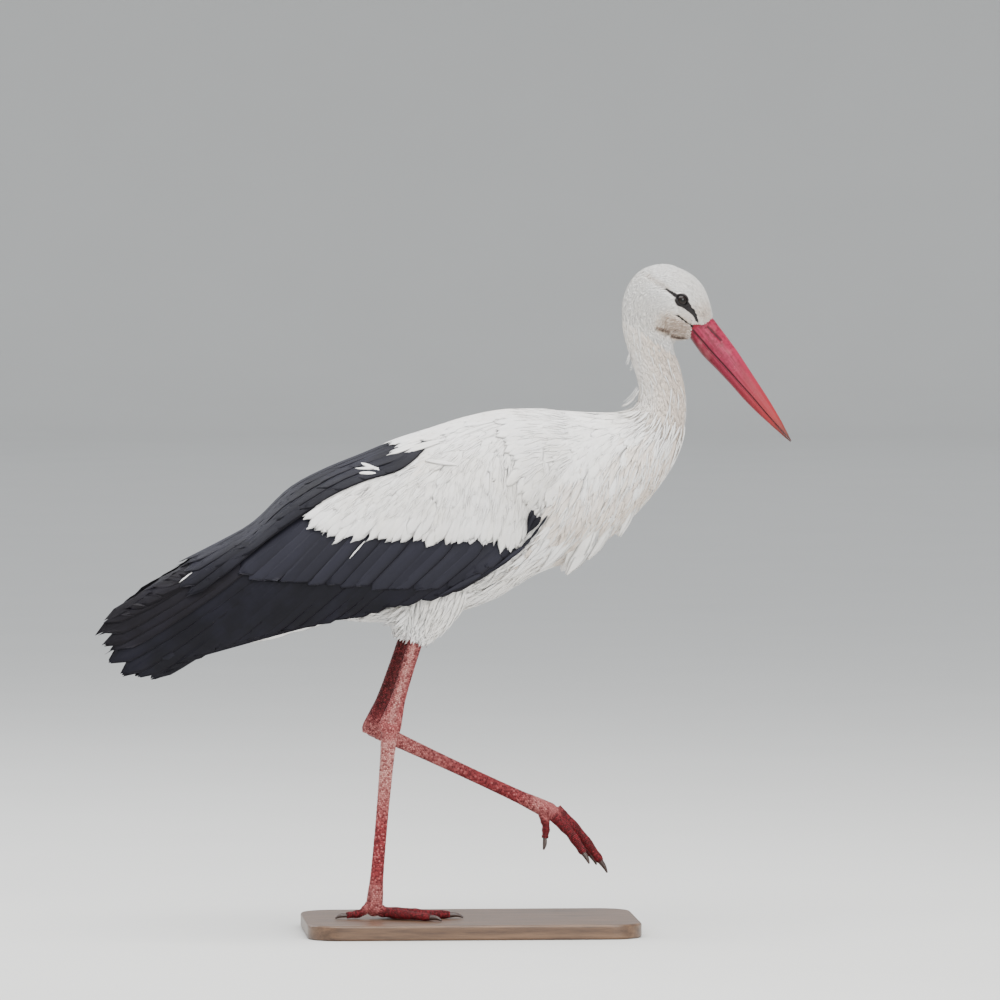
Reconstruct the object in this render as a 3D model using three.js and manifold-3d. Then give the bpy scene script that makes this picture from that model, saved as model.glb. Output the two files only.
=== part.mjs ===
// A life-size white stork in mid stride: it stands on its right leg, and the left leg swings forward.
// Millimetres. +X is forward, towards the bill, +Y is the bird's left and +Z is up.
// The origin is the centre of the underside of the display base.
import * as THREE from "three";
import Module from "manifold-3d";

const wasm = await Module();
wasm.setup();

// Driving dimensions
const clearance = 0.3; // left between neighbouring pieces
const bodySides = 20; // points round the body
const stand = { length: 400, width: 240, height: 18, corner: 40, chamfer: 2 };
const eyeball = { x: 252.6, y: 18.6, z: 759.8, radius: 8 };
const billLength = 172.3;
const billRoot = new THREE.Vector3(279.4, 0, 724.2);
const billTip = new THREE.Vector3(386.4, 0, 589.2);
const tarsusHalf = { fore: 7, side: 5.6 };
const wingTurn = THREE.MathUtils.degToRad(130); // how far the folded wing wraps round, from ridge to low edge
const wingMiddleGap = 0.5; // from the bird's middle plane to each wing

const white = { color: 0xe4e0d8, roughness: 0.85, metalness: 0 };
const black = { color: 0x1d1c22, roughness: 0.6, metalness: 0 };
const horn = { color: 0xc23a45, roughness: 0.45, metalness: 0 };
const legSkin = { color: 0xb5434a, roughness: 0.6, metalness: 0 };
const clawHorn = { color: 0x2a2220, roughness: 0.4, metalness: 0 };
const eyeGloss = { color: 0x140f0d, roughness: 0.1, metalness: 0 };
const wood = { color: 0x4a3526, roughness: 0.5, metalness: 0 };

// The body from the bill's root to the tail's root. Each row is one slanting section: its two ends in side view
// (x, z), on the back and on the front or belly, and its half width.
const bodyStations = [
  { top: [293.5, 735.6], low: [265.2, 712.8], half: 13 }, // bill root
  { top: [289.2, 756], low: [260.4, 710.4], half: 17.5 }, // forehead, chin
  { top: [279.6, 778.2], low: [255.6, 709.2], half: 21.5 },
  { top: [261.6, 794.4], low: [251.4, 708.6], half: 24 }, // brow, eyes
  { top: [234, 803.4], low: [247.8, 708], half: 25.5 }, // crown
  { top: [207.6, 797.4], low: [245.4, 706.2], half: 26 },
  { top: [190.8, 780], low: [244.8, 703.2], half: 25.5 }, // nape
  { top: [182.4, 754.8], low: [246, 698.4], half: 24.5 },
  { top: [183.6, 722.4], low: [249, 690], half: 23.5 }, // throat
  { top: [192, 688.8], low: [254.4, 676.8], half: 23 },
  { top: [200.4, 660], low: [259.2, 658.8], half: 24 }, // middle of the neck
  { top: [200.4, 643.2], low: [262.2, 637.2], half: 26 },
  { top: [195.6, 632.4], low: [261, 608.4], half: 30 },
  { top: [186, 626.4], low: [252, 576], half: 37 }, // foot of the neck
  { top: [168, 624], low: [234, 543.6], half: 48 },
  { top: [141.6, 625.2], low: [207.6, 510], half: 62 }, // breast
  { top: [108, 628], low: [170.4, 474], half: 74 },
  { top: [69.6, 629], low: [127.2, 446.4], half: 82 }, // shoulders
  { top: [24, 620], low: [75.6, 428.4], half: 82 },
  { top: [-24, 603], low: [22.8, 398.5], half: 76 },
  { top: [-74.4, 581], low: [-33.6, 381], half: 66 }, // loins, vent
  { top: [-122.4, 554], low: [-88.8, 370.5], half: 52 },
  { top: [-164.4, 514], low: [-141.6, 371], half: 38 },
  { top: [-198, 474], low: [-184.8, 381], half: 24 }, // tail root
];

// The folded wing from the shoulder to the tail: each section runs from the ridge of the back to the low edge.
const wingStations = [
  { top: [72, 629.5], low: [86.4, 510], half: 83.5 }, // shoulder, wrist
  { top: [36, 628.8], low: [54, 468], half: 90 },
  { top: [-6, 620.4], low: [15.6, 435.6], half: 97 },
  { top: [-48, 607.2], low: [-24, 420], half: 98 },
  { top: [-90, 594], low: [-69.6, 404.4], half: 95 },
  { top: [-132, 576], low: [-117.6, 391.2], half: 89 },
  { top: [-174, 558.5], low: [-165.6, 379.2], half: 80 },
  { top: [-216, 534], low: [-213.6, 369.6], half: 69 },
  { top: [-258, 493.2], low: [-259.2, 358.8], half: 58 },
  { top: [-300, 469.2], low: [-300, 349.2], half: 47 },
  { top: [-336, 451.2], low: [-330, 339.6], half: 38 },
];

// The share of the way down the wing, at stations 0 to 10, of the black scapulars' edge and the white coverts' edge.
const scapularEdge = [0, 0, 0, 0.02, 0.13, 0.115, 0.13, 0.17, 0.15, 0.24, 0.35];
const covertEdge = [1.0, 0.93, 0.81, 0.7, 0.61, 0.52, 0.42, 0.2, 0.16, 0.16, 0.16];

// Reads one point or number of each row as a smooth curve over the row's index, and runs straight on past its ends.
function through(rows, read) {
  const points = rows.map((row) => new THREE.Vector3(...read(row)));
  const curve = new THREE.CatmullRomCurve3(points, false, "catmullrom", 0.5);
  const last = rows.length - 1;
  return (station) => {
    const inside = Math.min(Math.max(station, 0), last);
    const point = curve.getPoint(inside / last);
    if (inside === station) return point;
    const back = inside > 0 ? inside - 0.1 : 0.1;
    return point.lerp(curve.getPoint(back / last), (inside - station) / (inside - back));
  };
}

const sideView = (key) => (row) => [row[key][0], 0, row[key][1]];
const bodyTop = through(bodyStations, sideView("top"));
const bodyLow = through(bodyStations, sideView("low"));
const bodyHalf = through(bodyStations, (row) => [row.half, 0, 0]);
const wingTop = through(wingStations, sideView("top"));
const wingLow = through(wingStations, sideView("low"));
const wingHalf = through(wingStations, (row) => [row.half, 0, 0]);
const scapularShare = through(scapularEdge, (share) => [share, 0, 0]);
const covertShare = through(covertEdge, (share) => [share, 0, 0]);

const { lerp, smoothstep, degToRad } = THREE.MathUtils;
const steps = (count) => Array.from({ length: count + 1 }, (_, index) => index / count);
const between = (from, to, part) => from.map((value, axis) => lerp(value, to[axis], part));

// A closed solid from shared points and triangles, turned right side out.
function solidFrom(points, faces) {
  const build = (triangles) =>
    new wasm.Manifold(
      new wasm.Mesh({
        numProp: 3,
        vertProperties: new Float32Array(points.flatMap((point) => point.toArray())),
        triVerts: new Uint32Array(triangles),
      }),
    );
  const made = build(faces);
  return made.volume() > 0 ? made : build(faces.slice().reverse());
}

const middleOf = (ring) =>
  ring.reduce((sum, point) => sum.add(point), new THREE.Vector3()).divideScalar(ring.length);

// A skin over rings of equal count. Each end closes on the ring's middle.
function tube(rings) {
  const sides = rings[0].length;
  const lastRing = (rings.length - 1) * sides;
  const points = [...rings.flat(), middleOf(rings[0]), middleOf(rings.at(-1))];
  const faces = [];
  for (let side = 0; side < sides; side++) {
    const next = (side + 1) % sides;
    for (let at = 0; at < lastRing; at += sides) {
      faces.push(at + side, at + next, at + sides + side);
      faces.push(at + next, at + sides + next, at + sides + side);
    }
    faces.push(points.length - 2, next, side);
    faces.push(points.length - 1, lastRing + side, lastRing + next);
  }
  return solidFrom(points, faces);
}

// A curved plate between an outer and an inner surface, both functions of (along, across) from 0 to 1.
function plate(outer, inner, alongCount, acrossCount) {
  const row = acrossCount + 1;
  const sheet = (surface) =>
    steps(alongCount).flatMap((along) => steps(acrossCount).map((across) => surface(along, across)));
  const points = [...sheet(outer), ...sheet(inner)];
  const inside = points.length / 2;
  const faces = [];
  const quad = (a, b, c, d) => faces.push(a, b, c, a, c, d);
  for (let i = 0; i < alongCount; i++)
    for (let j = 0; j < acrossCount; j++) {
      const a = i * row + j;
      quad(a, a + 1, a + row + 1, a + row);
      quad(inside + a, inside + a + row, inside + a + row + 1, inside + a + 1);
    }
  for (let i = 0; i < alongCount; i++) {
    const near = i * row;
    const far = near + acrossCount;
    quad(near, near + row, inside + near + row, inside + near);
    quad(far + row, far, inside + far, inside + far + row);
  }
  for (let j = 0; j < acrossCount; j++) {
    const end = alongCount * row + j;
    quad(j + 1, j, inside + j, inside + j + 1);
    quad(end, end + 1, inside + end + 1, inside + end);
  }
  return solidFrom(points, faces);
}

// A tube along a path, with oval sections square to it. Rows hold at: [x, y, z], fore and side half sizes.
function limb(rows, sides, count, grow = 0) {
  const path = through(rows, (row) => row.at);
  const size = through(rows, (row) => [row.fore, row.side, 0]);
  const last = rows.length - 1;
  return tube(
    steps(count).map((share) => {
      const station = share * last;
      const centre = path(station);
      const ahead = path(Math.min(station + 0.02, last)).sub(path(Math.max(station - 0.02, 0))).normalize();
      const sideways = new THREE.Vector3(0, 1, 0).addScaledVector(ahead, -ahead.y).normalize();
      const fore = new THREE.Vector3().crossVectors(sideways, ahead);
      const half = size(station);
      return steps(sides)
        .slice(0, sides)
        .map((turn) =>
          centre
            .clone()
            .addScaledVector(fore, (half.x + grow) * Math.cos(2 * Math.PI * turn))
            .addScaledVector(sideways, (half.y + grow) * Math.sin(2 * Math.PI * turn)),
        );
    }),
  );
}

// The largest body of a solid, which drops slivers left by a cut.
const largest = (solid) => solid.decompose().sort((a, b) => b.volume() - a.volume())[0];
const join = (solids) => solids.reduce((sum, solid) => sum.add(solid));
const cutBy = (solid, others) => largest(others.reduce((rest, other) => rest.subtract(other), solid));

const object = new THREE.Group();

function addPiece(name, solid, finish) {
  const mesh = solid.getMesh();
  const geometry = new THREE.BufferGeometry()
    .setAttribute("position", new THREE.BufferAttribute(new Float32Array(mesh.vertProperties), 3))
    .setIndex(new THREE.BufferAttribute(new Uint32Array(mesh.triVerts), 1));
  geometry.computeVertexNormals();
  const piece = new THREE.Mesh(geometry, new THREE.MeshStandardMaterial(finish));
  piece.name = name;
  object.add(piece);
}

// Body: one loft, with the widest line a little below the middle of the trunk.
function bodyRing(station, grow) {
  const top = bodyTop(station);
  const low = bodyLow(station);
  const middle = top.clone().lerp(low, 0.5);
  const up = top.clone().sub(middle);
  const reach = 1 + grow / up.length();
  const half = bodyHalf(station).x + grow;
  const droop = 0.2 * smoothstep(station, 12, 16);
  return steps(bodySides)
    .slice(0, bodySides)
    .map((turn) => {
      const angle = 2 * Math.PI * turn;
      const level = Math.cos(angle + droop * Math.sin(angle));
      const point = middle.clone().addScaledVector(up, reach * level);
      point.y = half * Math.sign(Math.sin(angle)) * Math.abs(Math.sin(angle)) ** 0.9;
      return point;
    });
}

function bodyLoft(grow = 0) {
  const last = bodyStations.length - 1;
  const finer = steps(24).map((share) => 13 * share);
  const coarser = steps(last - 13).slice(1).map((share) => lerp(13, last, share));
  return tube([...finer, ...coarser].map((station) => bodyRing(station, grow)));
}

// Keeps the body's stretch between two stations, less half a clearance at each cut.
function bodyStretch(whole, from, to) {
  const cutAt = (solid, station, towardsTail) => {
    const top = bodyTop(station);
    const slope = bodyLow(station).sub(top).normalize();
    const normal = new THREE.Vector3(slope.z, 0, -slope.x).multiplyScalar(towardsTail ? 1 : -1);
    return solid.trimByPlane(normal.toArray(), normal.dot(top) + clearance / 2);
  };
  let stretch = whole;
  if (from > 0) stretch = cutAt(stretch, from, true);
  if (to < bodyStations.length - 1) stretch = cutAt(stretch, to, false);
  return largest(stretch);
}

// Wing: a point of the folded wing's outer face, with share from 0 at the back's ridge to 1 at the low edge.
function wingPoint(station, share, depth = 0) {
  const angle = Math.acos(1 - (1 - Math.cos(wingTurn)) * Math.min(Math.max(share, 0), 1));
  const top = wingTop(station);
  const low = wingLow(station);
  const inward = low.clone().sub(top).normalize();
  const point = top.addScaledVector(inward, depth).lerp(low, share);
  point.y = wingMiddleGap + Math.max(wingHalf(station).x - depth, 1) * Math.sin(angle) ** 0.9;
  return point;
}

// A stretch of the wing as a plate. The edges are functions of the station that give the share, and the front edge
// bows forward by a number of stations.
function wingPlate({ from, bow, to, upper, lower, depth, alongCount, acrossCount, grow = 0 }) {
  const surface = (inner) => (along, across) => {
    const front = from + bow * (2 * across - 1) ** 2;
    const station = lerp(front - grow / 40, to + grow / 40, along);
    const step = grow / 180;
    const share = lerp(upper(station) - step, lower(station) + step, across);
    return wingPoint(station, share, inner ? depth(station) + grow : -grow);
  };
  return plate(surface(false), surface(true), alongCount, acrossCount);
}

// One stiff feather: a lens section that broadens and ends in a blunt point, leaning in towards the middle plane.
function vane({ quill, tip, width, thick, lean = 0, bow = 0, grow = 0 }) {
  const ahead = new THREE.Vector3(...tip).sub(new THREE.Vector3(...quill)).normalize();
  const start = new THREE.Vector3(...quill).addScaledVector(ahead, -grow);
  const run = new THREE.Vector3(...tip).addScaledVector(ahead, grow).sub(start);
  const sideways = new THREE.Vector3(0, 1, 0).addScaledVector(ahead, -ahead.y).normalize();
  const across = new THREE.Vector3().crossVectors(sideways, ahead);
  across.applyAxisAngle(ahead, lean);
  sideways.applyAxisAngle(ahead, lean);
  const outline = [0.55, 0.9, 1, 0.7, 0.12];
  const places = [0, 0.3, 0.72, 0.92, 1];
  return tube(
    places.map((place, index) => {
      const bend = bow * Math.sin(Math.PI * place);
      const centre = start.clone().addScaledVector(run, place).addScaledVector(across, bend);
      return steps(4)
        .slice(0, 4)
        .map((turn) =>
          centre
            .clone()
            .addScaledVector(across, ((width / 2) * outline[index] + 1.5 * grow) * Math.cos(2 * Math.PI * turn))
            .addScaledVector(sideways, (thick / 2 + 1.5 * grow) * Math.sin(2 * Math.PI * turn)),
        );
    }),
  );
}

const wingDepth = (station) => lerp(17, 4.5, smoothstep(station, 1, 10));
const edgeAt = (curve, station) => Math.min(Math.max(curve(station).x, 0), 1);
const underlap = 0.03; // how much further down a group reaches than its edge, before the next group is cut out of it
const covertsEnd = (station) => Math.max(edgeAt(covertShare, station), edgeAt(scapularShare, station) + 0.03);

function scapulars(grow) {
  return wingPlate({
    from: 3,
    bow: 0,
    to: 10,
    upper: () => 0,
    lower: (station) => edgeAt(scapularShare, station) + underlap,
    depth: wingDepth,
    alongCount: 9,
    acrossCount: 2,
    grow,
  });
}

function coverts(grow) {
  return wingPlate({
    from: 0.05,
    bow: 0.5,
    to: 6.9,
    upper: (station) => edgeAt(scapularShare, station),
    lower: (station) => covertsEnd(station) + underlap,
    depth: wingDepth,
    alongCount: 8,
    acrossCount: 4,
    grow,
  });
}

// The black flight feathers and their greater coverts, without the free tips.
function secondaries(grow) {
  return wingPlate({
    from: 1.05,
    bow: 0,
    to: 10,
    upper: covertsEnd,
    lower: (station) => 1 - 0.045 * smoothstep(station, 1.5, 4),
    depth: wingDepth,
    alongCount: 9,
    acrossCount: 4,
    grow,
  });
}

// The free tips at the wing's end: each grows from a station and share of the wing and ends at x, y, z.
const secondaryTips = [
  { station: 9.7, share: 0.36, tip: [-430, 17, 328] },
  { station: 9.65, share: 0.46, tip: [-427.5, 19, 315] },
  { station: 9.4, share: 0.56, tip: [-402, 21, 313.5] },
  { station: 8.8, share: 0.68, tip: [-383, 23, 308] },
  { station: 8.4, share: 0.7, tip: [-362, 25, 318] },
];
const tertialTips = [
  { station: 8.9, share: 0.08, tip: [-414, 5, 393] },
  { station: 9.2, share: 0.12, tip: [-434, 6, 379.5] },
  { station: 9.3, share: 0.18, tip: [-444.5, 9, 363] },
  { station: 9.5, share: 0.25, tip: [-434, 13, 344.5] },
];

function tipVanes(rows, width, lean, grow) {
  return rows.map(({ station, share, tip }) => {
    const quill = wingPoint(station, share, 1.6).toArray();
    return vane({ quill, tip, width, thick: 3, lean, grow });
  });
}

const secondaryVanes = (grow) => tipVanes(secondaryTips, 27, -0.15, grow);
const tertialVanes = (grow) => tipVanes(tertialTips, 25, -0.5, grow);

// The long primaries lie inside the secondaries and show as a narrow band under them.
function primaryVanes() {
  return steps(2).map((step) =>
    vane({
      quill: [-20 - 45 * step, 67 - 3 * step, 427 - 6 * step],
      tip: [-318 - 52 * step, 26 - 4 * step, 347 - 15 * step],
      width: 22,
      thick: 3.4,
      lean: -0.1,
    }),
  );
}

// Thighs: feathered drumsticks that come down out of the belly.
function thigh({ hip, knee }, grow = 0) {
  return limb(
    [
      { at: hip, fore: 38, side: 22 },
      { at: between(hip, knee, 0.4), fore: 43, side: 25 },
      { at: between(hip, knee, 0.73), fore: 35, side: 23 },
      { at: between(hip, knee, 0.95), fore: 23, side: 16 },
      { at: between(hip, knee, 1.07), fore: 11, side: 9.5 },
    ],
    12,
    6,
    grow,
  );
}

// Legs: the path of each bone's axis from the hip to the toes' root.
const rightLeg = {
  side: -1,
  hip: [-22, -34, 470],
  knee: [-66, -36, 358],
  ankle: [-98, -25, 249],
  toeRoot: [-116.4, -15, 31],
};
const leftLeg = {
  side: 1,
  hip: [-22, 34, 470],
  knee: [-74.3, 36, 354.5],
  ankle: [-115, 30, 243.5],
  toeRoot: [97.5, 24, 143.5],
};

function shank({ knee, ankle }, grow = 0) {
  return limb(
    [
      { at: knee, fore: 8.4, side: 7 },
      { at: between(knee, ankle, 0.3), fore: 7.8, side: 6.4 },
      { at: between(knee, ankle, 0.66), fore: 8.2, side: 6.8 },
      { at: between(knee, ankle, 0.86), fore: 11, side: 8.8 },
      { at: between(knee, ankle, 1.0), fore: 13, side: 9.8 },
      { at: between(knee, ankle, 1.1), fore: 10, side: 7.6 },
    ],
    8,
    7,
    grow,
  );
}

function tarsus({ ankle, toeRoot }, grow = 0) {
  const { fore, side } = tarsusHalf;
  return limb(
    [
      { at: between(ankle, toeRoot, -0.01), fore: fore + 3, side: side + 2 },
      { at: between(ankle, toeRoot, 0.08), fore: fore + 2.2, side: side + 1.6 },
      { at: between(ankle, toeRoot, 0.2), fore: fore + 1, side: side + 0.4 },
      { at: between(ankle, toeRoot, 0.5), fore, side },
      { at: between(ankle, toeRoot, 0.8), fore: fore + 0.4, side },
      { at: between(ankle, toeRoot, 0.93), fore: fore + 2.2, side: side + 3 },
      { at: between(ankle, toeRoot, 1.0), fore: fore + 2.4, side: side + 4 },
      { at: between(ankle, toeRoot, 1.04), fore: fore - 1, side: side + 0.5 },
    ],
    8,
    9,
    grow,
  );
}

// Toes: lengths without the claw. Spread is the angle out from straight ahead, to the outer side of the foot.
const toes = [
  { name: "hallux", length: 30, radius: 4.5, claw: 13.5, spread: 172, root: 4 },
  { name: "inner_toe", length: 58, radius: 5.6, claw: 14, spread: -30, root: 8 },
  { name: "middle_toe", length: 83, radius: 6, claw: 16, spread: 2, root: 8 },
  { name: "outer_toe", length: 70, radius: 5.6, claw: 15, spread: 33, root: 8 },
];

// The standing foot lies flat: each toe runs from the root down to the base and along it.
function standingToe(leg, toe) {
  const turn = degToRad(toe.spread) * leg.side;
  const [x, y, z] = leg.toeRoot;
  const ground = stand.height + clearance;
  const run = (far, height) => [x + far * Math.cos(turn), y + far * Math.sin(turn), height];
  const high = toe.name === "hallux" ? z + 6 : z - 3;
  return {
    toe: [run(toe.root, high), run(toe.root + 11, ground + 7.4), run(toe.root + toe.length, ground + 4)],
    claw: [
      run(toe.root + toe.length + 0.5, ground + 4),
      run(toe.root + toe.length + 0.6 * toe.claw, ground + 3.6),
      run(toe.root + toe.length + toe.claw, ground + 1.1),
    ],
  };
}

// The lifted foot hangs: the front toes point forward and down, and the hallux straight down.
const hanging = {
  hallux: { from: [-8.5, -3, -3], drop: 85, aside: -4 },
  inner_toe: { from: [4, -7, -5.4], drop: 51, aside: -8 },
  middle_toe: { from: [8, 0, 2], drop: 49.5, aside: 2 },
  outer_toe: { from: [5, 7.5, -3], drop: 48, aside: 11 },
};

function hangingToe(leg, toe) {
  const { from, drop, aside } = hanging[toe.name];
  const start = leg.toeRoot.map((value, axis) => value + from[axis]);
  const down = degToRad(drop);
  const out = degToRad(aside);
  const run = (far, curl) => [
    start[0] + far * Math.cos(down) * Math.cos(out) - curl * Math.sin(down),
    start[1] + far * Math.sin(out),
    start[2] - far * Math.sin(down) * Math.cos(out) - curl * Math.cos(down),
  ];
  return {
    toe: [run(0, 0), run(0.5 * toe.length, -2.5), run(toe.length, 0)],
    claw: [run(toe.length + 0.5, 0), run(toe.length + 0.6 * toe.claw, 0.8), run(toe.length + toe.claw, 3)],
  };
}

function addFoot(leg, where, layToe) {
  const taken = [tarsus(leg, clearance)];
  toes.forEach((toe) => {
    const paths = layToe(leg, toe);
    const { radius } = toe;
    const toeLimb = (grow) =>
      limb(
        [
          { at: paths.toe[0], fore: radius, side: radius + 0.4 },
          { at: between(paths.toe[0], paths.toe[1], 0.9), fore: radius + 0.2, side: radius + 0.2 },
          { at: between(paths.toe[1], paths.toe[2], 0.3), fore: radius - 0.5, side: radius - 0.3 },
          { at: between(paths.toe[1], paths.toe[2], 0.7), fore: radius - 0.8, side: radius - 0.6 },
          { at: paths.toe[2], fore: radius - 2.2, side: radius - 2 },
        ],
        7,
        5,
        grow,
      );
    const clawLimb = limb(
      [
        { at: paths.claw[0], fore: radius - 2.8, side: radius - 2.6 },
        { at: paths.claw[1], fore: 1.9, side: 1.9 },
        { at: paths.claw[2], fore: 0.6, side: 0.7 },
      ],
      5,
      3,
    );
    const onBase = (solid) =>
      where === "right" ? solid.trimByPlane([0, 0, 1], stand.height + clearance) : solid;
    addPiece(`${where}_${toe.name}`, cutBy(onBase(toeLimb(0)), taken), legSkin);
    addPiece(`${where}_${toe.name}_claw`, cutBy(onBase(clawLimb), [toeLimb(clearance)]), clawHorn);
    taken.push(toeLimb(clearance));
  });
}

// Bill: heights above and below the axis and the cutting edge's height, by share of the length.
const billRows = [
  { top: 18.2, low: -18.2, mouth: -10, half: 13 },
  { top: 17.6, low: -19.4, mouth: -8.8, half: 12.4 },
  { top: 16.6, low: -16.6, mouth: -7, half: 10.6 },
  { top: 14.4, low: -14.4, mouth: -5.4, half: 8.8 },
  { top: 12.2, low: -13, mouth: -3.8, half: 7.4 },
  { top: 10, low: -10.6, mouth: -2.8, half: 6 },
  { top: 6.6, low: -6.6, mouth: -1.4, half: 4.2 },
  { top: 1, low: -1, mouth: 0, half: 0.9 },
];

function mandible(upper) {
  const size = through(billRows, (row) => [upper ? row.top : row.low, row.mouth, row.half]);
  const ahead = billTip.clone().sub(billRoot).normalize();
  const up = new THREE.Vector3(-ahead.z, 0, ahead.x);
  const rings = steps(9).map((part) => {
    const { x: ridge, y: mouth, z: half } = size(part * (billRows.length - 1));
    const edge = mouth + (upper ? 0.15 : -0.15);
    const centre = billRoot.clone().addScaledVector(ahead, clearance + part * billLength);
    return steps(8).map((turn) =>
      centre
        .clone()
        .addScaledVector(up, edge + (ridge - edge) * Math.sin(Math.PI * turn) ** 0.8)
        .setY(half * Math.cos(Math.PI * turn)),
    );
  });
  return tube(rings);
}

// Loose plumes that hang from the breast, as tongues in side view (x, z).
function breastPlumes() {
  const plume = (quill, tip, width, thick) =>
    vane({ quill: [quill[0], 0, quill[1]], tip: [tip[0], 0, tip[1]], width, thick, bow: -3 });
  return join([
    plume([170, 516], [113, 433], 27, 44),
    plume([146, 501], [88, 441], 22, 54),
    plume([202, 542], [150, 459], 26, 38),
  ]);
}

function addBody() {
  const whole = bodyLoft();
  const eyes = [1, -1].map((side) => eyeSolid(side, clearance));
  addPiece("head", cutBy(bodyStretch(whole, 0, 8), eyes), white);
  addPiece("neck_upper", bodyStretch(whole, 8, 10.5), white);
  addPiece("neck_lower", bodyStretch(whole, 10.5, 13), white);
  addPiece("trunk", bodyStretch(whole, 13, bodyStations.length - 1), white);
  addPiece("breast_plumes", cutBy(breastPlumes(), [bodyLoft(clearance)]), white);
}

function eyeSolid(side, grow = 0) {
  const radius = eyeball.radius + grow;
  const ring = (polar) =>
    steps(10)
      .slice(0, 10)
      .map((turn) => new THREE.Vector3().setFromSphericalCoords(radius, polar, 2 * Math.PI * turn));
  const rings = steps(6).map((share) => ring(Math.PI * lerp(0.03, 0.97, share)));
  return tube(rings).translate([eyeball.x, side * eyeball.y, eyeball.z]);
}

function addTail() {
  const rows = [
    { at: [-186, 0, 424], fore: 15, side: 24 },
    { at: [-225, 0, 404], fore: 10, side: 27 },
    { at: [-280, 0, 379], fore: 6, side: 27 },
    { at: [-325, 0, 359], fore: 4, side: 26 },
    { at: [-345, 0, 350], fore: 1.5, side: 20 },
  ];
  addPiece("tail", cutBy(limb(rows, 12, 6), [bodyLoft(clearance)]), white);
}

function addWing(where, leg) {
  const body = bodyLoft(clearance);
  const onSide = (solid) => (leg.side > 0 ? solid : solid.mirror([0, 1, 0]));
  const put = (name, solid, inTheWay, finish) =>
    addPiece(`wing_${where}_${name}`, cutBy(onSide(solid), [body, ...inTheWay]), finish);
  const secondaryRoom = onSide(join([secondaries(0), secondaries(clearance), ...secondaryVanes(clearance)]));
  const covertRoom = onSide(coverts(0).add(coverts(clearance)));
  put("scapulars", join([scapulars(0), ...tertialVanes(0)]), [secondaryRoom, covertRoom], black);
  put("coverts", coverts(0), [secondaryRoom], white);
  put("secondaries", join([secondaries(0), ...secondaryVanes(0)]), [], black);
  put("primaries", join(primaryVanes()), [secondaryRoom, thigh(leg, clearance)], black);
}

function addLeg(where, leg, layToe) {
  addPiece(`${where}_thigh`, cutBy(thigh(leg), [bodyLoft(clearance)]), white);
  addPiece(`${where}_shank`, cutBy(shank(leg), [thigh(leg, clearance)]), legSkin);
  addPiece(`${where}_tarsus`, cutBy(tarsus(leg), [shank(leg, clearance)]), legSkin);
  addFoot(leg, where, layToe);
}

function addStand() {
  const { length, width, height, corner, chamfer } = stand;
  const x = length / 2 - chamfer;
  const y = width / 2 - chamfer;
  const outline = new THREE.Shape();
  outline.moveTo(-x + corner, -y);
  outline.lineTo(x - corner, -y);
  outline.absarc(x - corner, -y + corner, corner, -Math.PI / 2, 0);
  outline.absarc(x - corner, y - corner, corner, 0, Math.PI / 2);
  outline.absarc(-x + corner, y - corner, corner, Math.PI / 2, Math.PI);
  outline.absarc(-x + corner, -y + corner, corner, Math.PI, 1.5 * Math.PI);
  const geometry = new THREE.ExtrudeGeometry(outline, {
    depth: height - 2 * chamfer,
    bevelThickness: chamfer,
    bevelSize: chamfer,
    bevelSegments: 1,
    curveSegments: 4,
  });
  geometry.translate(0, 0, chamfer);
  const piece = new THREE.Mesh(geometry, new THREE.MeshStandardMaterial(wood));
  piece.name = "stand_base";
  object.add(piece);
}

addBody();
addPiece("bill_upper", mandible(true), horn);
addPiece("bill_lower", mandible(false), horn);
addPiece("eye_left", eyeSolid(1), eyeGloss);
addPiece("eye_right", eyeSolid(-1), eyeGloss);
addTail();
addWing("left", leftLeg);
addWing("right", rightLeg);
addLeg("right", rightLeg, standingToe);
addLeg("left", leftLeg, hangingToe);
addStand();

export default object;
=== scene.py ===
# A life-size white stork in mid stride on a display board, dressed over its solid frame.
# Tables are in millimetres, in the frame's own axes: +X towards the bill, +Y the bird's left, +Z up.
import math
import bpy
import numpy as np
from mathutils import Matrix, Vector


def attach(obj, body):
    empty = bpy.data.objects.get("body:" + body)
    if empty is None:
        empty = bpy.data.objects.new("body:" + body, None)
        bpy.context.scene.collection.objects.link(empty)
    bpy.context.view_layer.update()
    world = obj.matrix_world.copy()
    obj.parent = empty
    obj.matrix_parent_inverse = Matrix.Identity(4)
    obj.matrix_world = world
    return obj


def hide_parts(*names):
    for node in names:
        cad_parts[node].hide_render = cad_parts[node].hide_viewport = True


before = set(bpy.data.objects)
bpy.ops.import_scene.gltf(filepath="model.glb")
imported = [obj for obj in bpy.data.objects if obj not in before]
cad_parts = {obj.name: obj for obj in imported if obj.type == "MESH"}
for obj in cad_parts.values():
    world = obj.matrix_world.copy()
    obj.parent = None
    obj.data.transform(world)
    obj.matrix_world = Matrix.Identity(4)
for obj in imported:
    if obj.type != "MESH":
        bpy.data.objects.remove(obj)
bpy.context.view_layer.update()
mm = 0.001
print("frame loaded:", len(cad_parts), "nodes")


# small helpers for arrays and curves

def smooth(low, high, value):
    # 0 below low, 1 above high, an S-shaped rise between them
    part = np.clip((value - low) / (high - low), 0, 1)
    return part * part * (3 - 2 * part)


def unit(vectors):
    return vectors / np.maximum(np.linalg.norm(vectors, axis=-1, keepdims=True), 1e-12)


def dot(a, b):
    return np.sum(a * b, axis=-1, keepdims=True)


def wrapped(angle):
    # the same angle between -pi and pi
    return (angle + math.pi) % (2 * math.pi) - math.pi


def sideName(side):
    return "left" if side > 0 else "right"


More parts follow.
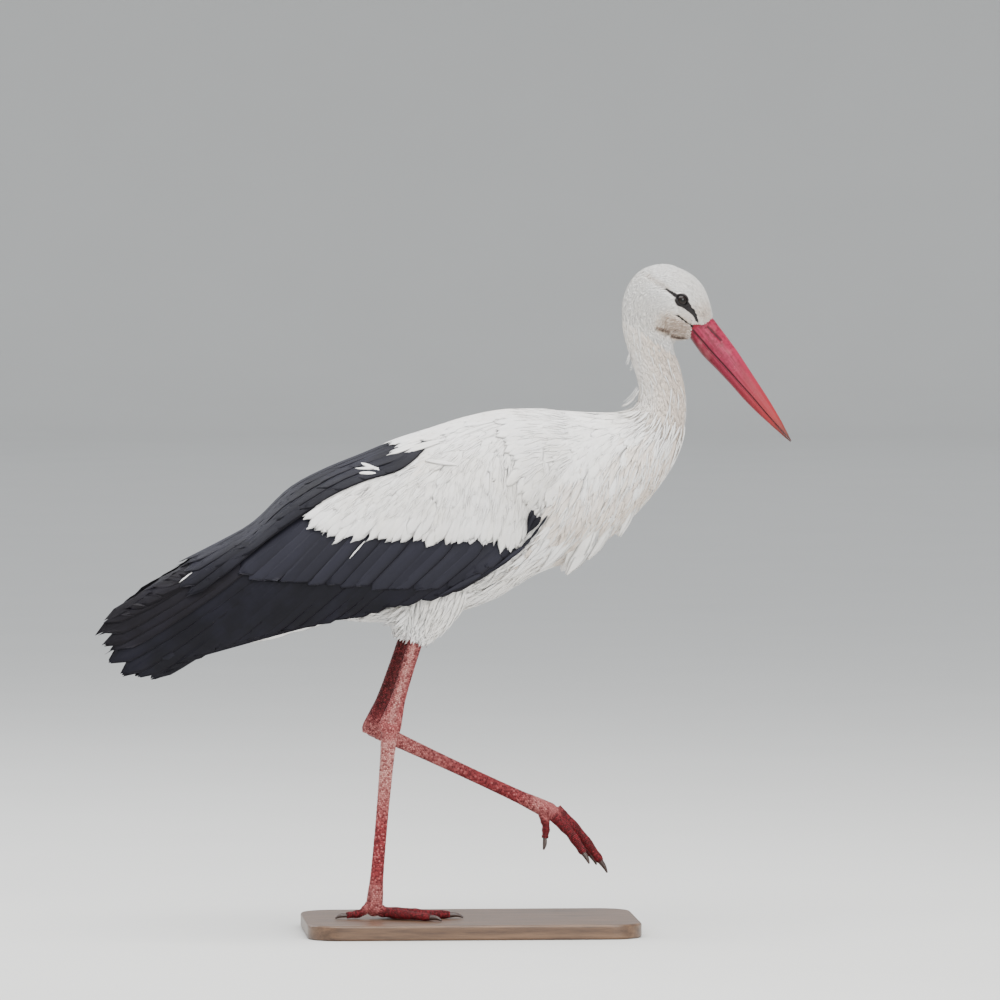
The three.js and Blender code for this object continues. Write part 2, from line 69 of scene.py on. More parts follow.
def through(rows):
    # Catmull-Rom curve over the rows' index: each stretch is a cubic whose end slopes are half the
    # difference of the neighbouring rows, and past the first and last row it runs straight on
    rows = np.array(rows, float)
    rows = rows.reshape(len(rows), -1)
    spread = np.vstack([2 * rows[0] - rows[1], rows, 2 * rows[-1] - rows[-2]])
    last = len(rows) - 1

    def at(station):
        station = np.asarray(station, float)
        inside = np.clip(station, 0, last)
        index = np.minimum(inside.astype(int), last - 1)
        t = (inside - index)[..., None]
        before, start, end, after = (spread[index + k] for k in range(4))
        slopeIn, slopeOut = (end - before) / 2, (after - start) / 2
        point = (2 * t**3 - 3 * t**2 + 1) * start + (t**3 - 2 * t**2 + t) * slopeIn
        point = point + (3 * t**2 - 2 * t**3) * end + (t**3 - t**2) * slopeOut
        slope = (6 * t**2 - 6 * t) * (start - end) + (3 * t**2 - 4 * t + 1) * slopeIn
        slope = slope + (3 * t**2 - 2 * t) * slopeOut
        return point + (station - inside)[..., None] * slope

    return at


def segmentShare(x, z, start, end):
    # how far along a side-view segment the nearest point lies, 0 to 1, and the distance to it
    run = np.subtract(end, start)
    share = np.clip(((x - start[0]) * run[0] + (z - start[1]) * run[1]) / (run @ run), 0, 1)
    away = np.hypot(x - start[0] - share * run[0], z - start[1] - share * run[1])
    return share, away


def stroke(x, z, start, end, half):
    # a mark along a side-view segment: 1 on it, fading away past the half width
    return np.exp(-(segmentShare(x, z, start, end)[1] / half)**2)


# meshes from arrays

def gridFaces(rows, columns, ring=False):
    # quads between neighbouring rows of a tube, or of a closed ring of rows
    i, j = np.meshgrid(np.arange(rows - (not ring)), np.arange(columns), indexing="ij")
    near, far, turn = i * columns, (i + 1) % rows * columns, (j + 1) % columns
    return np.stack([near + j, near + turn, far + turn, far + j], -1).reshape(-1, 4)


def signedVolume(points, polygons):
    a, b, c = (points[polygons[:, k]] for k in (0, 1, 2))
    volume = np.sum(a * np.cross(b, c))
    if polygons.shape[1] == 4:
        volume += np.sum(a * np.cross(c, points[polygons[:, 3]]))
    return volume


def putMesh(name, points, faceSets, smoothShaded=True):
    # faceSets is a list of arrays with one polygon to a row; all are turned if they face inwards
    centred = points - points.mean(axis=0)
    if signedVolume(centred, faceSets[0]) < 0:
        faceSets = [faces[:, ::-1] for faces in faceSets]
    mesh = bpy.data.meshes.new(name)
    mesh.vertices.add(len(points))
    mesh.vertices.foreach_set("co", (points * mm).astype(np.float32).ravel())
    corners = np.concatenate([faces.ravel() for faces in faceSets]).astype(np.int32)
    sizes = np.concatenate([np.full(len(faces), faces.shape[1]) for faces in faceSets])
    mesh.loops.add(len(corners))
    mesh.loops.foreach_set("vertex_index", corners)
    mesh.polygons.add(len(sizes))
    mesh.polygons.foreach_set("loop_start", (np.cumsum(sizes) - sizes).astype(np.int32))
    mesh.update(calc_edges=True)
    mesh.polygons.foreach_set("use_smooth", np.full(len(sizes), smoothShaded))
    piece = bpy.data.objects.new(name, mesh)
    bpy.context.scene.collection.objects.link(piece)
    return piece, corners


def setAttributes(piece, **layers):
    for name, values in layers.items():
        layer = piece.data.attributes.new(name, "FLOAT", "POINT")
        layer.data.foreach_set("value", np.ascontiguousarray(values, np.float32).ravel())


def closedTubes(rings):
    # rings is (tubes, rows, columns, 3): returns points, quads and the end caps of every tube
    tubes, rows, columns = rings.shape[:3]
    step = (np.arange(tubes) * rows * columns)[:, None, None]
    quads = (gridFaces(rows, columns)[None] + step).reshape(-1, 4)
    ends = np.stack([np.arange(columns)[::-1], (rows - 1) * columns + np.arange(columns)])
    return rings.reshape(-1, 3), quads, (ends[None] + step).reshape(-1, columns)


def tubePiece(name, rings, smoothShaded=True):
    points, quads, ends = closedTubes(rings)
    return putMesh(name, points, [quads, ends], smoothShaded)[0]


def vertexArray(piece):
    points = np.empty(len(piece.data.vertices) * 3, np.float32)
    piece.data.vertices.foreach_get("co", points)
    return points.reshape(-1, 3).astype(float) / mm


def applyModifiers(piece):
    depsgraph = bpy.context.evaluated_depsgraph_get()
    mesh = bpy.data.meshes.new_from_object(piece.evaluated_get(depsgraph))
    piece.modifiers.clear()
    old, piece.data = piece.data, mesh
    bpy.data.meshes.remove(old)


def dress(piece, material, slot, *nodes):
    piece.data.materials.clear()
    piece.data.materials.append(material)
    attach(piece, "root")
    if nodes:
        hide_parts(*nodes)


# material nodes

def newMaterial(name, roughness=0.6, **fixed):
    material = bpy.data.materials.new(name)
    material.use_nodes = True
    tree = material.node_tree
    shader = tree.nodes["Principled BSDF"]
    shader.inputs["Roughness"].default_value = roughness
    for key, value in fixed.items():
        shader.inputs[key.replace("_", " ")].default_value = value
    return material, tree, shader


def addNode(tree, kind, inputs=None, **settings):
    node = tree.nodes.new("ShaderNode" + kind)
    for key, value in settings.items():
        setattr(node, key, value)
    for key, value in (inputs or {}).items():
        socket = node.inputs[key]
        if isinstance(value, bpy.types.NodeSocket):
            tree.links.new(value, socket)
        else:
            socket.default_value = value
    return node


def calc(tree, operation, a, b=0.0, clamp=False):
    return addNode(tree, "Math", {0: a, 1: b}, operation=operation, use_clamp=clamp).outputs[0]


def read(tree, name):
    return addNode(tree, "Attribute", attribute_name=name).outputs["Fac"]


def times(tree, a, b):
    return calc(tree, "MULTIPLY", a, b)


def paint(tree, shade, *coats):
    # colours laid over one another by their shares; a mix node's colours are sockets 6 and 7, and its
    # result is number 2
    for share, tint in coats:
        shade = addNode(tree, "Mix", {0: share, 6: shade, 7: tint}, data_type="RGBA").outputs[2]
    return shade


def objectCoords(tree):
    return addNode(tree, "TexCoord").outputs["Object"]


def noiseAt(tree, scale, detail=3.0, stretch=(1, 1, 1), roughness=0.5):
    place = addNode(tree, "Mapping", {"Vector": objectCoords(tree), "Scale": stretch}).outputs[0]
    inputs = {"Vector": place, "Scale": scale, "Detail": detail, "Roughness": roughness}
    return addNode(tree, "TexNoise", inputs).outputs["Fac"]


def remap(tree, value, low, high, toLow=0.0, toHigh=1.0):
    inputs = {0: value, 1: low, 2: high, 3: toLow, 4: toHigh}
    return addNode(tree, "MapRange", inputs, clamp=True).outputs[0]


def finish(tree, shader, shade, height, distance, strength, rough=None):
    # wires a material's colour, its bump and, where it wanders, its roughness
    tree.links.new(shade, shader.inputs["Base Color"])
    if rough is not None:
        tree.links.new(rough, shader.inputs["Roughness"])
    bump = addNode(tree, "Bump", {"Height": height, "Distance": distance, "Strength": strength})
    tree.links.new(bump.outputs[0], shader.inputs["Normal"])


def wander(tree, least, noise, more):
    # a number that the noise carries from least upwards
    return calc(tree, "ADD", least, times(tree, noise, more))


def colour(red, green, blue):
    return (red, green, blue, 1.0)


def featherMaterial(name, look):
    # along runs 0 to 1 from quill to tip, shaft is 0 on the shaft and 1 at the vane's edge, barb is the
    # distance across the barbs in mm, and tone is one random number for each feather
    material, tree, shader = newMaterial(name, look["roughness"], **look["fixed"])
    stain = read(tree, "stain")
    # where the stain passes 0.72 the buff deepens to the painted shadow of the jaw's crease
    stainColour = paint(tree, look["cream"], (remap(tree, stain, 0.35, 0.6), look["stain"]),
                        (remap(tree, stain, 0.72, 1.0), look["creaseShadow"]))
    shade = paint(
        tree, look["root"], (remap(tree, read(tree, "along"), 0.0, look["rootEnd"]), look["main"]),
        (remap(tree, noiseAt(tree, look["patchScale"]), 0.42, 0.68), look["patch"]),
        # the tone colour is a random tone on the white feathers and a painted blue-grey sheen on the black
        # ones
        (remap(tree, read(tree, "tone"), 0.0, 1.0, 0.0, look["toneShare"]), look["toneAndSheenColour"]),
        (times(tree, calc(tree, "POWER", read(tree, "shaft"), 3.0), look["edgeShare"]), look["edge"]),
        (stain, stainColour))
    wave = calc(tree, "SINE", times(tree, read(tree, "barb"), 2 * math.pi / look["barbPitch"]))
    clumps = times(tree, noiseAt(tree, 900.0, 2.0), 1.2)
    finish(tree, shader, shade, calc(tree, "ADD", wave, clumps), look["barbDepth"] * mm, 0.6)
    return material


whiteLook = {
    "main": colour(0.92, 0.90, 0.865), "root": colour(0.83, 0.81, 0.79), "rootEnd": 0.45,
    "patch": colour(0.86, 0.82, 0.75), "patchScale": 14.0, "toneShare": 0.3,
    "toneAndSheenColour": colour(0.80, 0.79, 0.81), "edge": colour(0.90, 0.89, 0.88), "edgeShare": 0.4,
    "cream": colour(0.62, 0.36, 0.15), "stain": colour(0.27, 0.125, 0.032),
    # the darkest stain colour is the painted shadow in the jaw's crease
    "creaseShadow": colour(0.09, 0.055, 0.04),
    "roughness": 0.78, "barbPitch": 1.1, "barbDepth": 0.12,
    "fixed": {"Sheen_Weight": 0.15, "Sheen_Roughness": 0.5, "Specular_IOR_Level": 0.25,
              "Subsurface_Weight": 0.22, "Subsurface_Radius": (1.0, 0.9, 0.8), "Subsurface_Scale": 0.004},
}
blackLook = {
    "main": colour(0.0055, 0.0054, 0.008), "root": colour(0.004, 0.004, 0.0055), "rootEnd": 0.4,
    "patch": colour(0.010, 0.0098, 0.016), "patchScale": 22.0, "toneShare": 0.8,
    # painted sheen: the black feathers' lighter blue-grey tone
    "toneAndSheenColour": colour(0.023, 0.023, 0.033), "edge": colour(0.005, 0.0045, 0.006), "edgeShare": 0.8,
    "cream": colour(0.07, 0.045, 0.03), "stain": colour(0.07, 0.045, 0.03),
    "creaseShadow": colour(0.05, 0.03, 0.02),
    "roughness": 0.46, "barbPitch": 1.5, "barbDepth": 0.14,
    "fixed": {"Sheen_Weight": 0.03, "Sheen_Tint": colour(0.6, 0.55, 0.8), "Specular_IOR_Level": 0.12},
}
whiteFeather = featherMaterial("white_feather", whiteLook)
blackFeather = featherMaterial("black_feather", blackLook)


# the body's and the wings' surfaces

# each row: the back's x, z, the belly's x, z and the half width, from the bill's root to the tail's root
bodyCurve = through([
    [293.5, 735.6, 265.2, 712.8, 13], [289.2, 756, 260.4, 710.4, 17.5], [279.6, 778.2, 255.6, 709.2, 21.5],
    [261.6, 794.4, 251.4, 708.6, 24], [234, 803.4, 247.8, 708, 25.5], [207.6, 797.4, 245.4, 706.2, 26],
    [190.8, 780, 244.8, 703.2, 25.5], [182.4, 754.8, 246, 698.4, 24.5], [183.6, 722.4, 249, 690, 23.5],
    [192, 688.8, 254.4, 676.8, 23], [200.4, 660, 259.2, 658.8, 24], [200.4, 643.2, 262.2, 637.2, 26],
    [195.6, 632.4, 261, 608.4, 30], [186, 626.4, 252, 576, 37], [168, 624, 234, 543.6, 48],
    [141.6, 625.2, 207.6, 510, 62], [108, 628, 170.4, 474, 74], [69.6, 629, 127.2, 446.4, 82],
    [24, 620, 75.6, 428.4, 82], [-24, 603, 22.8, 398.5, 76], [-74.4, 581, -33.6, 381, 66],
    [-122.4, 554, -88.8, 370.5, 52], [-164.4, 514, -141.6, 371, 38], [-198, 474, -184.8, 381, 24],
])
# the folded wing, from the shoulder to the tail: the ridge's x, z, the low edge's x, z and the half width
wingCurve = through([
    [72, 629.5, 86.4, 510, 83.5], [36, 628.8, 54, 468, 90], [-6, 620.4, 15.6, 435.6, 97],
    [-48, 607.2, -24, 420, 98], [-90, 594, -69.6, 404.4, 95], [-132, 576, -117.6, 391.2, 89],
    [-174, 558.5, -165.6, 379.2, 80], [-216, 534, -213.6, 369.6, 69], [-258, 493.2, -259.2, 358.8, 58],
    [-300, 469.2, -300, 349.2, 47], [-336, 451.2, -330, 339.6, 38],
])
wingTurn = math.radians(130)
# shares of the way down the wing where the black scapulars end and where the white coverts end
scapularEdge = through([0, 0, 0, 0.02, 0.13, 0.115, 0.13, 0.17, 0.15, 0.24, 0.35])
covertEdge = through([1.0, 0.985, 0.81, 0.7, 0.61, 0.52, 0.42, 0.2, 0.16, 0.16, 0.16])
bodyEnd = 23.0
coatDepth = {"stations": [0, 6, 9, 13, 16, 23], "depths": [2.2, 2.6, 3.6, 5.0, 6.5, 6.0]}
wingCoat = {"front": 5.0, "rear": 2.2}

# swellings and hollows of the face in side view: x, z, radius and how far it stands out
faceForms = [
    (256, 772, 9, 1.4), (234, 784, 11, 1.0), (214, 768, 12, 0.9), (268, 745, 7, -1.6), (238, 741, 13, 1.2),
    (232, 727, 9, 0.9),
]
# creases of the face: start, end, half width and depth
faceCreases = [
    ((247.5, 741.5), (264, 729.6), 1.6, 1.8), ((222, 723.6), (234, 718.2), 2.6, 1.5),
    ((234, 718.2), (253, 710.5), 2.6, 1.6), ((205, 790), (233, 774.5), 5.0, 1.5),
]


def faceRelief(x, z):
    relief = np.zeros_like(x)
    for centreX, centreZ, radius, height in faceForms:
        relief += height * np.exp(-((x - centreX)**2 + (z - centreZ)**2) / radius**2)
    for *crease, depth in faceCreases:
        relief -= depth * stroke(x, z, *crease)
    return relief


def bodySurface(station, angle, above=0.0):
    # an oval section between the back and the belly: the angle runs round from the back (0) over the left
    # side to the belly (pi), and the section is drawn in by the coat's depth
    row = bodyCurve(station)
    depth = np.interp(station, coatDepth["stations"], coatDepth["depths"]) - above
    top, low, half = row[..., 0:2], row[..., 2:4], row[..., 4]
    middle, up = (top + low) / 2, (top - low) / 2
    droop = 0.2 * smooth(12, 16, station)
    reach = 1 - depth / np.linalg.norm(up, axis=-1)
    level = reach * np.cos(angle + droop * np.sin(angle))
    flat = middle + up * level[..., None]
    sideways = np.sin(angle)
    y = (half - depth) * np.sign(sideways) * np.abs(sideways)**0.9
    y = y + np.sign(sideways) * faceRelief(flat[..., 0], flat[..., 1]) * smooth(0.3, 0.75, np.abs(sideways))
    return np.stack([flat[..., 0], y, flat[..., 1]], -1)


def wingShare(angle):
    return (1 - np.cos(angle)) / (1 - math.cos(wingTurn))


def wingAngle(share):
    return np.arccos(np.clip(1 - (1 - math.cos(wingTurn)) * share, -1, 1))


def wingSurface(side, sink=0.0):
    # side is +1 for the left wing: the angle runs from the back's ridge (0) to the low edge (wingTurn)
    def surface(station, angle):
        row = wingCurve(station)
        depth = wingCoat["front"] + (wingCoat["rear"] - wingCoat["front"]) * smooth(5.5, 8, station) + sink
        top, low = row[..., 0:2], row[..., 2:4]
        top = top + unit(low - top) * np.asarray(depth)[..., None]
        share = wingShare(angle)[..., None]
        flat = top + (low - top) * share
        sideways = np.sin(angle)
        y = 0.5 + np.maximum(row[..., 4] - depth, 3) * np.sign(sideways) * np.abs(sideways)**0.9
        return np.stack([flat[..., 0], side * y, flat[..., 1]], -1)

    return surface


def onCurve(curve, x, z, low, high):
    # station and share of the way down of a side-view point: halving finds the section that it lies on
    low, high = np.full(np.shape(x), float(low)), np.full(np.shape(x), float(high))
    for _ in range(26):
        middle = (low + high) / 2
        row = curve(middle)
        run = row[..., 2:4] - row[..., 0:2]
        ahead = (x - row[..., 0]) * run[..., 1] - (z - row[..., 1]) * run[..., 0] < 0
        low, high = np.where(ahead, low, middle), np.where(ahead, middle, high)
    row = curve(low)
    run = row[..., 2:4] - row[..., 0:2]
    share = ((x - row[..., 0]) * run[..., 0] + (z - row[..., 1]) * run[..., 1]) / np.sum(run * run, -1)
    return low, share


def onWing(x, z):
    return onCurve(wingCurve, x, z, -3, 16)


def bodyHalf(x, z):
    # half width of the trunk's skin at a side-view point
    station, share = onCurve(bodyCurve, x, z, 12, 25)
    row = bodyCurve(station)
    depth = np.interp(station, coatDepth["stations"], coatDepth["depths"])
    reach = 1 - 2 * depth / np.linalg.norm(row[..., 0:2] - row[..., 2:4], axis=-1)
    level = np.arccos(np.clip((1 - 2 * share) / reach, -1, 1))
    droop = 0.2 * smooth(12, 16, station)
    turn = level - droop * np.sin(level - droop * np.sin(level))
    return (row[..., 4] - depth) * np.abs(np.sin(turn))**0.9


def limbSurface(rows, deeper=0.0):
    # rows hold x, y, z and the fore and side half sizes: oval rings square to the path, turn from 0 to 1
    curve = through(rows)
    last = len(rows) - 1

    def surface(station, turn):
        row, step = curve(station), 0.02
        after, before = np.minimum(station + step, last), np.maximum(station - step, 0)
        ahead = unit(curve(after)[..., :3] - curve(before)[..., :3])
        sideways = unit(np.array([0, 1.0, 0]) - ahead * ahead[..., 1:2])
        fore = np.cross(sideways, ahead)
        angle = 2 * math.pi * np.asarray(turn)[..., None]
        point = row[..., :3] + fore * (row[..., 3:4] - deeper) * np.cos(angle)
        return point + sideways * (row[..., 4:5] - deeper) * np.sin(angle)

    return surface


smallSteps = 0.004, 0.004  # in station and angle, for slopes


def frameOn(surface, u, v, outward, reach=smallSteps):
    # point, both tangents and the outward normal, from small steps each way
    stepU, stepV = reach
    point = surface(u, v)
    alongU = (surface(u + stepU, v) - surface(u - stepU, v)) / (2 * stepU)
    alongV = (surface(u, v + stepV) - surface(u, v - stepV)) / (2 * stepV)
    normal = unit(np.cross(alongV, alongU)) * outward
    return point, alongU, alongV, normal


def toParameters(alongU, alongV, direction):
    # steps in u and v that move the point along a tangent direction by 1 mm
    uu, uv, vv = dot(alongU, alongU), dot(alongU, alongV), dot(alongV, alongV)
    du, dv = dot(alongU, direction), dot(alongV, direction)
    span = np.maximum(uu * vv - uv * uv, 1e-9)
    return ((du * vv - dv * uv) / span)[..., 0], ((dv * uu - du * uv) / span)[..., 0]


# where feathers don't grow on the face

# bare black skin round the eye, in side view: start, end and the half widths there
barePatches = [
    ((233, 773.5), (245, 765.5), 0.7, 2.2), ((252.6, 759.8), (252.7, 759.7), 8.2, 8.2),
    ((257, 754.5), (268.5, 743), 4.9, 2.7), ((268.5, 743), (272, 733.5), 2.7, 1.1),
]
gape = (247.5, 741.5), (266, 728)  # the slit behind the bill, from end to end
# the feathers' front edge by height over the bill's axis: how far along the axis it reaches
billEdge = {"heights": [-20, -14, -9.5, -8, -2.3, 4.5, 19.6],
            "ends": [0.3, -3.5, -11.5, -13.8, -10.3, -3.4, -2.1]}
billRoot, billTip, billLength = np.array([279.4, 724.2]), np.array([386.4, 589.2]), 172.3
billAhead = (billTip - billRoot) / np.linalg.norm(billTip - billRoot)
billUp = np.array([-billAhead[1], billAhead[0]])


def bareDistance(x, z):
    # below 0 inside the bare skin
    nearest = np.full(np.shape(x), 99.0)
    for start, end, halfStart, halfEnd in barePatches:
        share, away = segmentShare(x, z, start, end)
        nearest = np.minimum(nearest, away - halfStart - (halfEnd - halfStart) * share)
    return nearest


def behindBill(x, z):
    # above 0 where the face's feathers grow
    along = (x - billRoot[0]) * billAhead[0] + (z - billRoot[1]) * billAhead[1]
    height = (x - billRoot[0]) * billUp[0] + (z - billRoot[1]) * billUp[1]
    return np.interp(height, billEdge["heights"], billEdge["ends"]) - along


def faceStainAndBrowShade(x, z):
    # buff-brown cheek below the gape, cream on the forehead and the face, and faint painted shade along the
    # brow's crease
    tilt = (x - 246) * 0.94 - (z - 726.5) * 0.34, (x - 246) * 0.34 + (z - 726.5) * 0.94
    cheek = 0.86 * np.exp(-(np.abs(tilt[0] / 22)**3 + np.abs(tilt[1] / 12)**3))
    forehead = 0.42 * np.exp(-(((x - 281) / 11)**2 + ((z - 744) / 12)**2))
    cream = 0.18 * np.exp(-(((x - 256) / 26)**2 + ((z - 737) / 22)**2))
    # the last stroke is painted shade along the brow's crease
    return cheek + forehead + cream + 0.2 * stroke(x, z, (212, 788), (236, 774), 3.5)


def jawCreaseShadow(x, z):
    # painted shadow: a dark line along the crease behind the cheek and under the jaw
    behind = stroke(x, z, (223.5, 725.6), (236, 721), 1.7)
    return behind + 0.85 * stroke(x, z, (242, 715.5), (262, 711), 1.9)


# limbs

rightLeg = {"side": -1, "hip": [-22, -34, 470], "knee": [-66, -36, 358], "ankle": [-98, -25, 249],
            "toeRoot": [-116.4, -15, 31]}
leftLeg = {"side": 1, "hip": [-22, 34, 470], "knee": [-74.3, 36, 354.5], "ankle": [-115, 30, 243.5],
           "toeRoot": [97.5, 24, 143.5]}
# each limb's joints, and by share of the way between them its half sizes fore and aside
limbSizes = {
    "thigh": ("hip", "knee", [(0, 38, 22), (0.4, 43, 25), (0.73, 35, 23), (0.95, 23, 16), (1.07, 11, 9.5)]),
    "shank": ("knee", "ankle", [(-0.2, 8.4, 7), (0, 8.4, 7), (0.3, 7.8, 6.4), (0.66, 8.2, 6.8),
                                (0.86, 11, 8.8), (1, 13, 9.8), (1.07, 10.5, 8)]),
    "tarsus": ("ankle", "toeRoot", [(-0.01, 10, 7.6), (0.08, 9.2, 7.2), (0.2, 8, 6), (0.5, 7, 5.6),
                                    (0.8, 7.4, 5.6), (0.93, 9.2, 8.6), (1.0, 9.4, 9.6), (1.04, 6, 6.1)]),
}
ground = 18.3  # a little over the board's top
toes = {
    "hallux": {"length": 30, "radius": 4.5, "claw": 13.5, "spread": 172, "root": 4},
    "inner_toe": {"length": 58, "radius": 5.6, "claw": 14, "spread": -30, "root": 8},
    "middle_toe": {"length": 83, "radius": 6, "claw": 16, "spread": 2, "root": 8},
    "outer_toe": {"length": 70, "radius": 5.6, "claw": 15, "spread": 33, "root": 8},
}
hanging = {
    "hallux": {"offset": [-8.5, -3, -3], "drop": 85, "aside": -4},
    "inner_toe": {"offset": [4, -7, -5.4], "drop": 51, "aside": -8},
    "middle_toe": {"offset": [8, 0, 2], "drop": 49.5, "aside": 2},
    "outer_toe": {"offset": [5, 7.5, -3], "drop": 48, "aside": 11},
}


def pathLengths(points):
    # distance along a path to each of its points
    return np.concatenate([[0], np.cumsum(np.linalg.norm(np.diff(points, axis=0), axis=1))])


def between(start, end, part):
    return list(np.add(np.multiply(start, 1 - part), np.multiply(end, part)))


def limbRows(leg, limb):
    start, end, sizes = limbSizes[limb]
    return [between(leg[start], leg[end], part) + [fore, side] for part, fore, side in sizes]


def standingToe(leg, name):
    # flat on the board: down from the root, then straight along it
    toe, (x, y, z) = toes[name], leg["toeRoot"]
    turn = math.radians(toe["spread"]) * leg["side"]
    run = lambda far, height: [x + far * math.cos(turn), y + far * math.sin(turn), height]
    high = z + 6 if name == "hallux" else z - 3
    end = toe["root"] + toe["length"]
    path = [run(toe["root"], high), run(toe["root"] + 11, ground + 7.4), run(end, ground + 4)]
    claw = [run(end - 2, ground + 4), run(end + 0.5 * toe["claw"], ground + 4)]
    return path, claw + [run(end + toe["claw"], ground + 1.1)]


def hangingToe(leg, name):
    # the lifted foot's toes point forward and down, a little curled
    toe, lay = toes[name], hanging[name]
    start = np.add(leg["toeRoot"], lay["offset"])
    down, out = math.radians(lay["drop"]), math.radians(lay["aside"])
    run = lambda far, curl: list(start + [
        far * math.cos(down) * math.cos(out) - curl * math.sin(down), far * math.sin(out),
        -far * math.sin(down) * math.cos(out) - curl * math.cos(down)])
    length, claw = toe["length"], toe["claw"]
    return ([run(0, 0), run(0.5 * length, -2.5), run(length, 0)],
            [run(length - 2, 0), run(length + 0.5 * claw, 0.9), run(length + claw, 3)])


def toeRows(path, radius):
    # joints bulge three times along the toe, and it thins towards the claw
    middle = through(path)
    rows = []
    for part in np.linspace(0, 1, 17):
        bulge = 0.42 * math.cos(2 * math.pi * 3 * part) * smooth(0.1, 0.3, part)
        size = (radius + 0.8) * (1 - 0.3 * part) + bulge
        size *= 1 if part < 0.95 else 0.72
        rows.append(list(middle(2 * part)) + [size, size + 0.1])
    return rows


feet = [(rightLeg, standingToe), (leftLeg, hangingToe)]
toePaths = {(leg["side"], name): lay(leg, name) for leg, lay in feet for name in toes}


def bareLimbs(leg):
    # rows of the shank, the tarsus and the four toes
    paths = [(toePaths[leg["side"], name][0], toes[name]["radius"]) for name in toes]
    return [limbRows(leg, "shank"), limbRows(leg, "tarsus")] + [toeRows(*path) for path in paths]


# skin

skinGrid = {"columns": 176, "head": 120, "neck": 60, "trunk": 56}
legMesh = {"voxel": 1.2, "smoothing": 4, "rings": 60, "columns": 24}
lids = {"long": 7.0, "high": 5.2, "centre": (252.6, 18.6, 759.8), "columns": 72}


def tubeRings(surface, stations, columns):
    u, v = np.meshgrid(stations, np.arange(columns) / columns, indexing="ij")
    return surface(u, v)


def closeEnds(rings, steps=3):
    # extra rings shrink to the end rings' middles, so that the caps are tiny
    shares = np.linspace(0, 0.97, steps + 1)[1:][:, None, None]
    first, last = rings[0], rings[-1]
    nose = first + (first.mean(0) - first) * shares[::-1]
    tail = last + (last.mean(0) - last) * shares
    return np.concatenate([nose, rings, tail])


def eyeAxes(side):
    # outward, along the slanting eye opening and across it
    outward = unit(np.array([0.13, side * 1.0, 0.0]))
    along = np.array([0.77, 0, -0.64])
    along = unit(along - outward * (along @ outward))
    across = np.cross(outward, along) * side
    return outward, along, across * (1 if across[2] > 0 else -1)


def lidRings(side):
    # a rounded collar round the eyeball: a closed loop of points carried round the almond-shaped opening
    turn = np.arange(lids["columns"]) / lids["columns"] * 2 * math.pi
    cosine, sine = np.cos(turn), np.sin(turn)
    opening = (np.abs(cosine / lids["long"])**1.7 + np.abs(sine / lids["high"])**1.7)**(-1 / 1.7)
    profile = [(0.0, 0.35, 1), (0.35, 0.95, 1), (1.1, 1.15, 1), (2.0, 0.45, 0), (3.2, -0.75, 0),
               (4.6, -2.6, 0), (3.0, -4.0, 0), (0.6, -1.2, 1)]
    outward, along, across = eyeAxes(side)
    centre = np.array(lids["centre"]) * [1, side, 1]
    rows = []
    for out, rise, onBall in profile:
        radius = opening + out
        ball = np.sqrt(np.maximum(64 - radius**2, 4)) if onBall else 5.2
        height = ball + rise + 0.5 * np.maximum(sine, 0) * (out < 2.5)
        rows.append(centre + along * (radius * cosine)[:, None] + across * (radius * sine)[:, None]
                    + outward * np.broadcast_to(height, radius.shape)[:, None])
    return np.stack(rows, axis=1)


def makeLegs():
    tubes = []
    stations = np.linspace(0, 1, legMesh["rings"])
    for leg, _ in feet:
        x, y, z = leg["toeRoot"]
        ball = [[x - 6, y, z + 7, 5, 5], [x - 3, y, z + 3.5, 9.3, 9], [x + 3, y, z - 3.5, 9.6, 9.6],
                [x + 6, y, z - 7, 5, 5]]
        for rows in bareLimbs(leg) + [ball]:
            rings = tubeRings(limbSurface(rows), stations * (len(rows) - 1), legMesh["columns"])
            tubes.append(closeEnds(rings))
    legs = tubePiece("legs", np.stack(tubes))
    remesh = legs.modifiers.new("join", "REMESH")
    remesh.mode, remesh.voxel_size = "VOXEL", legMesh["voxel"] * mm
    soften = legs.modifiers.new("soften", "SMOOTH")
    soften.factor, soften.iterations = 0.5, legMesh["smoothing"]
    applyModifiers(legs)
    return legs


def makeWingFlesh(side):
    # the folded arm under the wing coverts: a flat closed plate from the shoulder to mid wing
    stations = np.linspace(0.5, 5.6, 40)
    outer, inner = wingSurface(side, 0.8), wingSurface(side, 7.0)
    rings = []
    for station in stations:
        thin = smooth(5.6, 4.2, station) if station > 4.2 else 1.0
        end = wingTurn * (0.9 - 0.35 * smooth(1, 5.5, station))
        angles = np.linspace(0.12, end, 26)
        station = np.full(angles.shape, station)
        outside = outer(station, angles)
        inside = inner(station, angles)
        inside = outside + (inside - outside) * (0.25 + 0.75 * thin)
        rings.append(np.concatenate([outside, inside[::-1]]))
    return closeEnds(np.stack(rings))


def makeSkin():
    grid = skinGrid
    stations = np.concatenate([
        np.linspace(-0.12, 6.5, grid["head"], endpoint=False),
        np.linspace(6.5, 13, grid["neck"], endpoint=False), np.linspace(13, bodyEnd, grid["trunk"])])
    turns = np.arange(grid["columns"]) / grid["columns"] * 2 * math.pi
    u, v = np.meshgrid(stations, turns, indexing="ij")
    skin = tubePiece("skin", closeEnds(bodySurface(u, v))[None])
    parts = [makeLegs()]
    for leg, _ in feet:
        rows = limbRows(leg, "thigh")
        rings = tubeRings(limbSurface(rows, 5.0), np.linspace(0, len(rows) - 1, 40), 36)
        parts.append(tubePiece("thigh", closeEnds(rings)[None]))
    for side in (1, -1):
        rings = lidRings(side)
        parts.append(putMesh("lid", rings.reshape(-1, 3), [gridFaces(*rings.shape[:2], ring=True)])[0])
        parts.append(tubePiece("arm", makeWingFlesh(side)[None]))
    for part in parts:
        union = skin.modifiers.new("union", "BOOLEAN")
        union.operation, union.object, union.solver = "UNION", part, "MANIFOLD"
    applyModifiers(skin)
    for part in parts:
        bpy.data.objects.remove(part)
    return skin


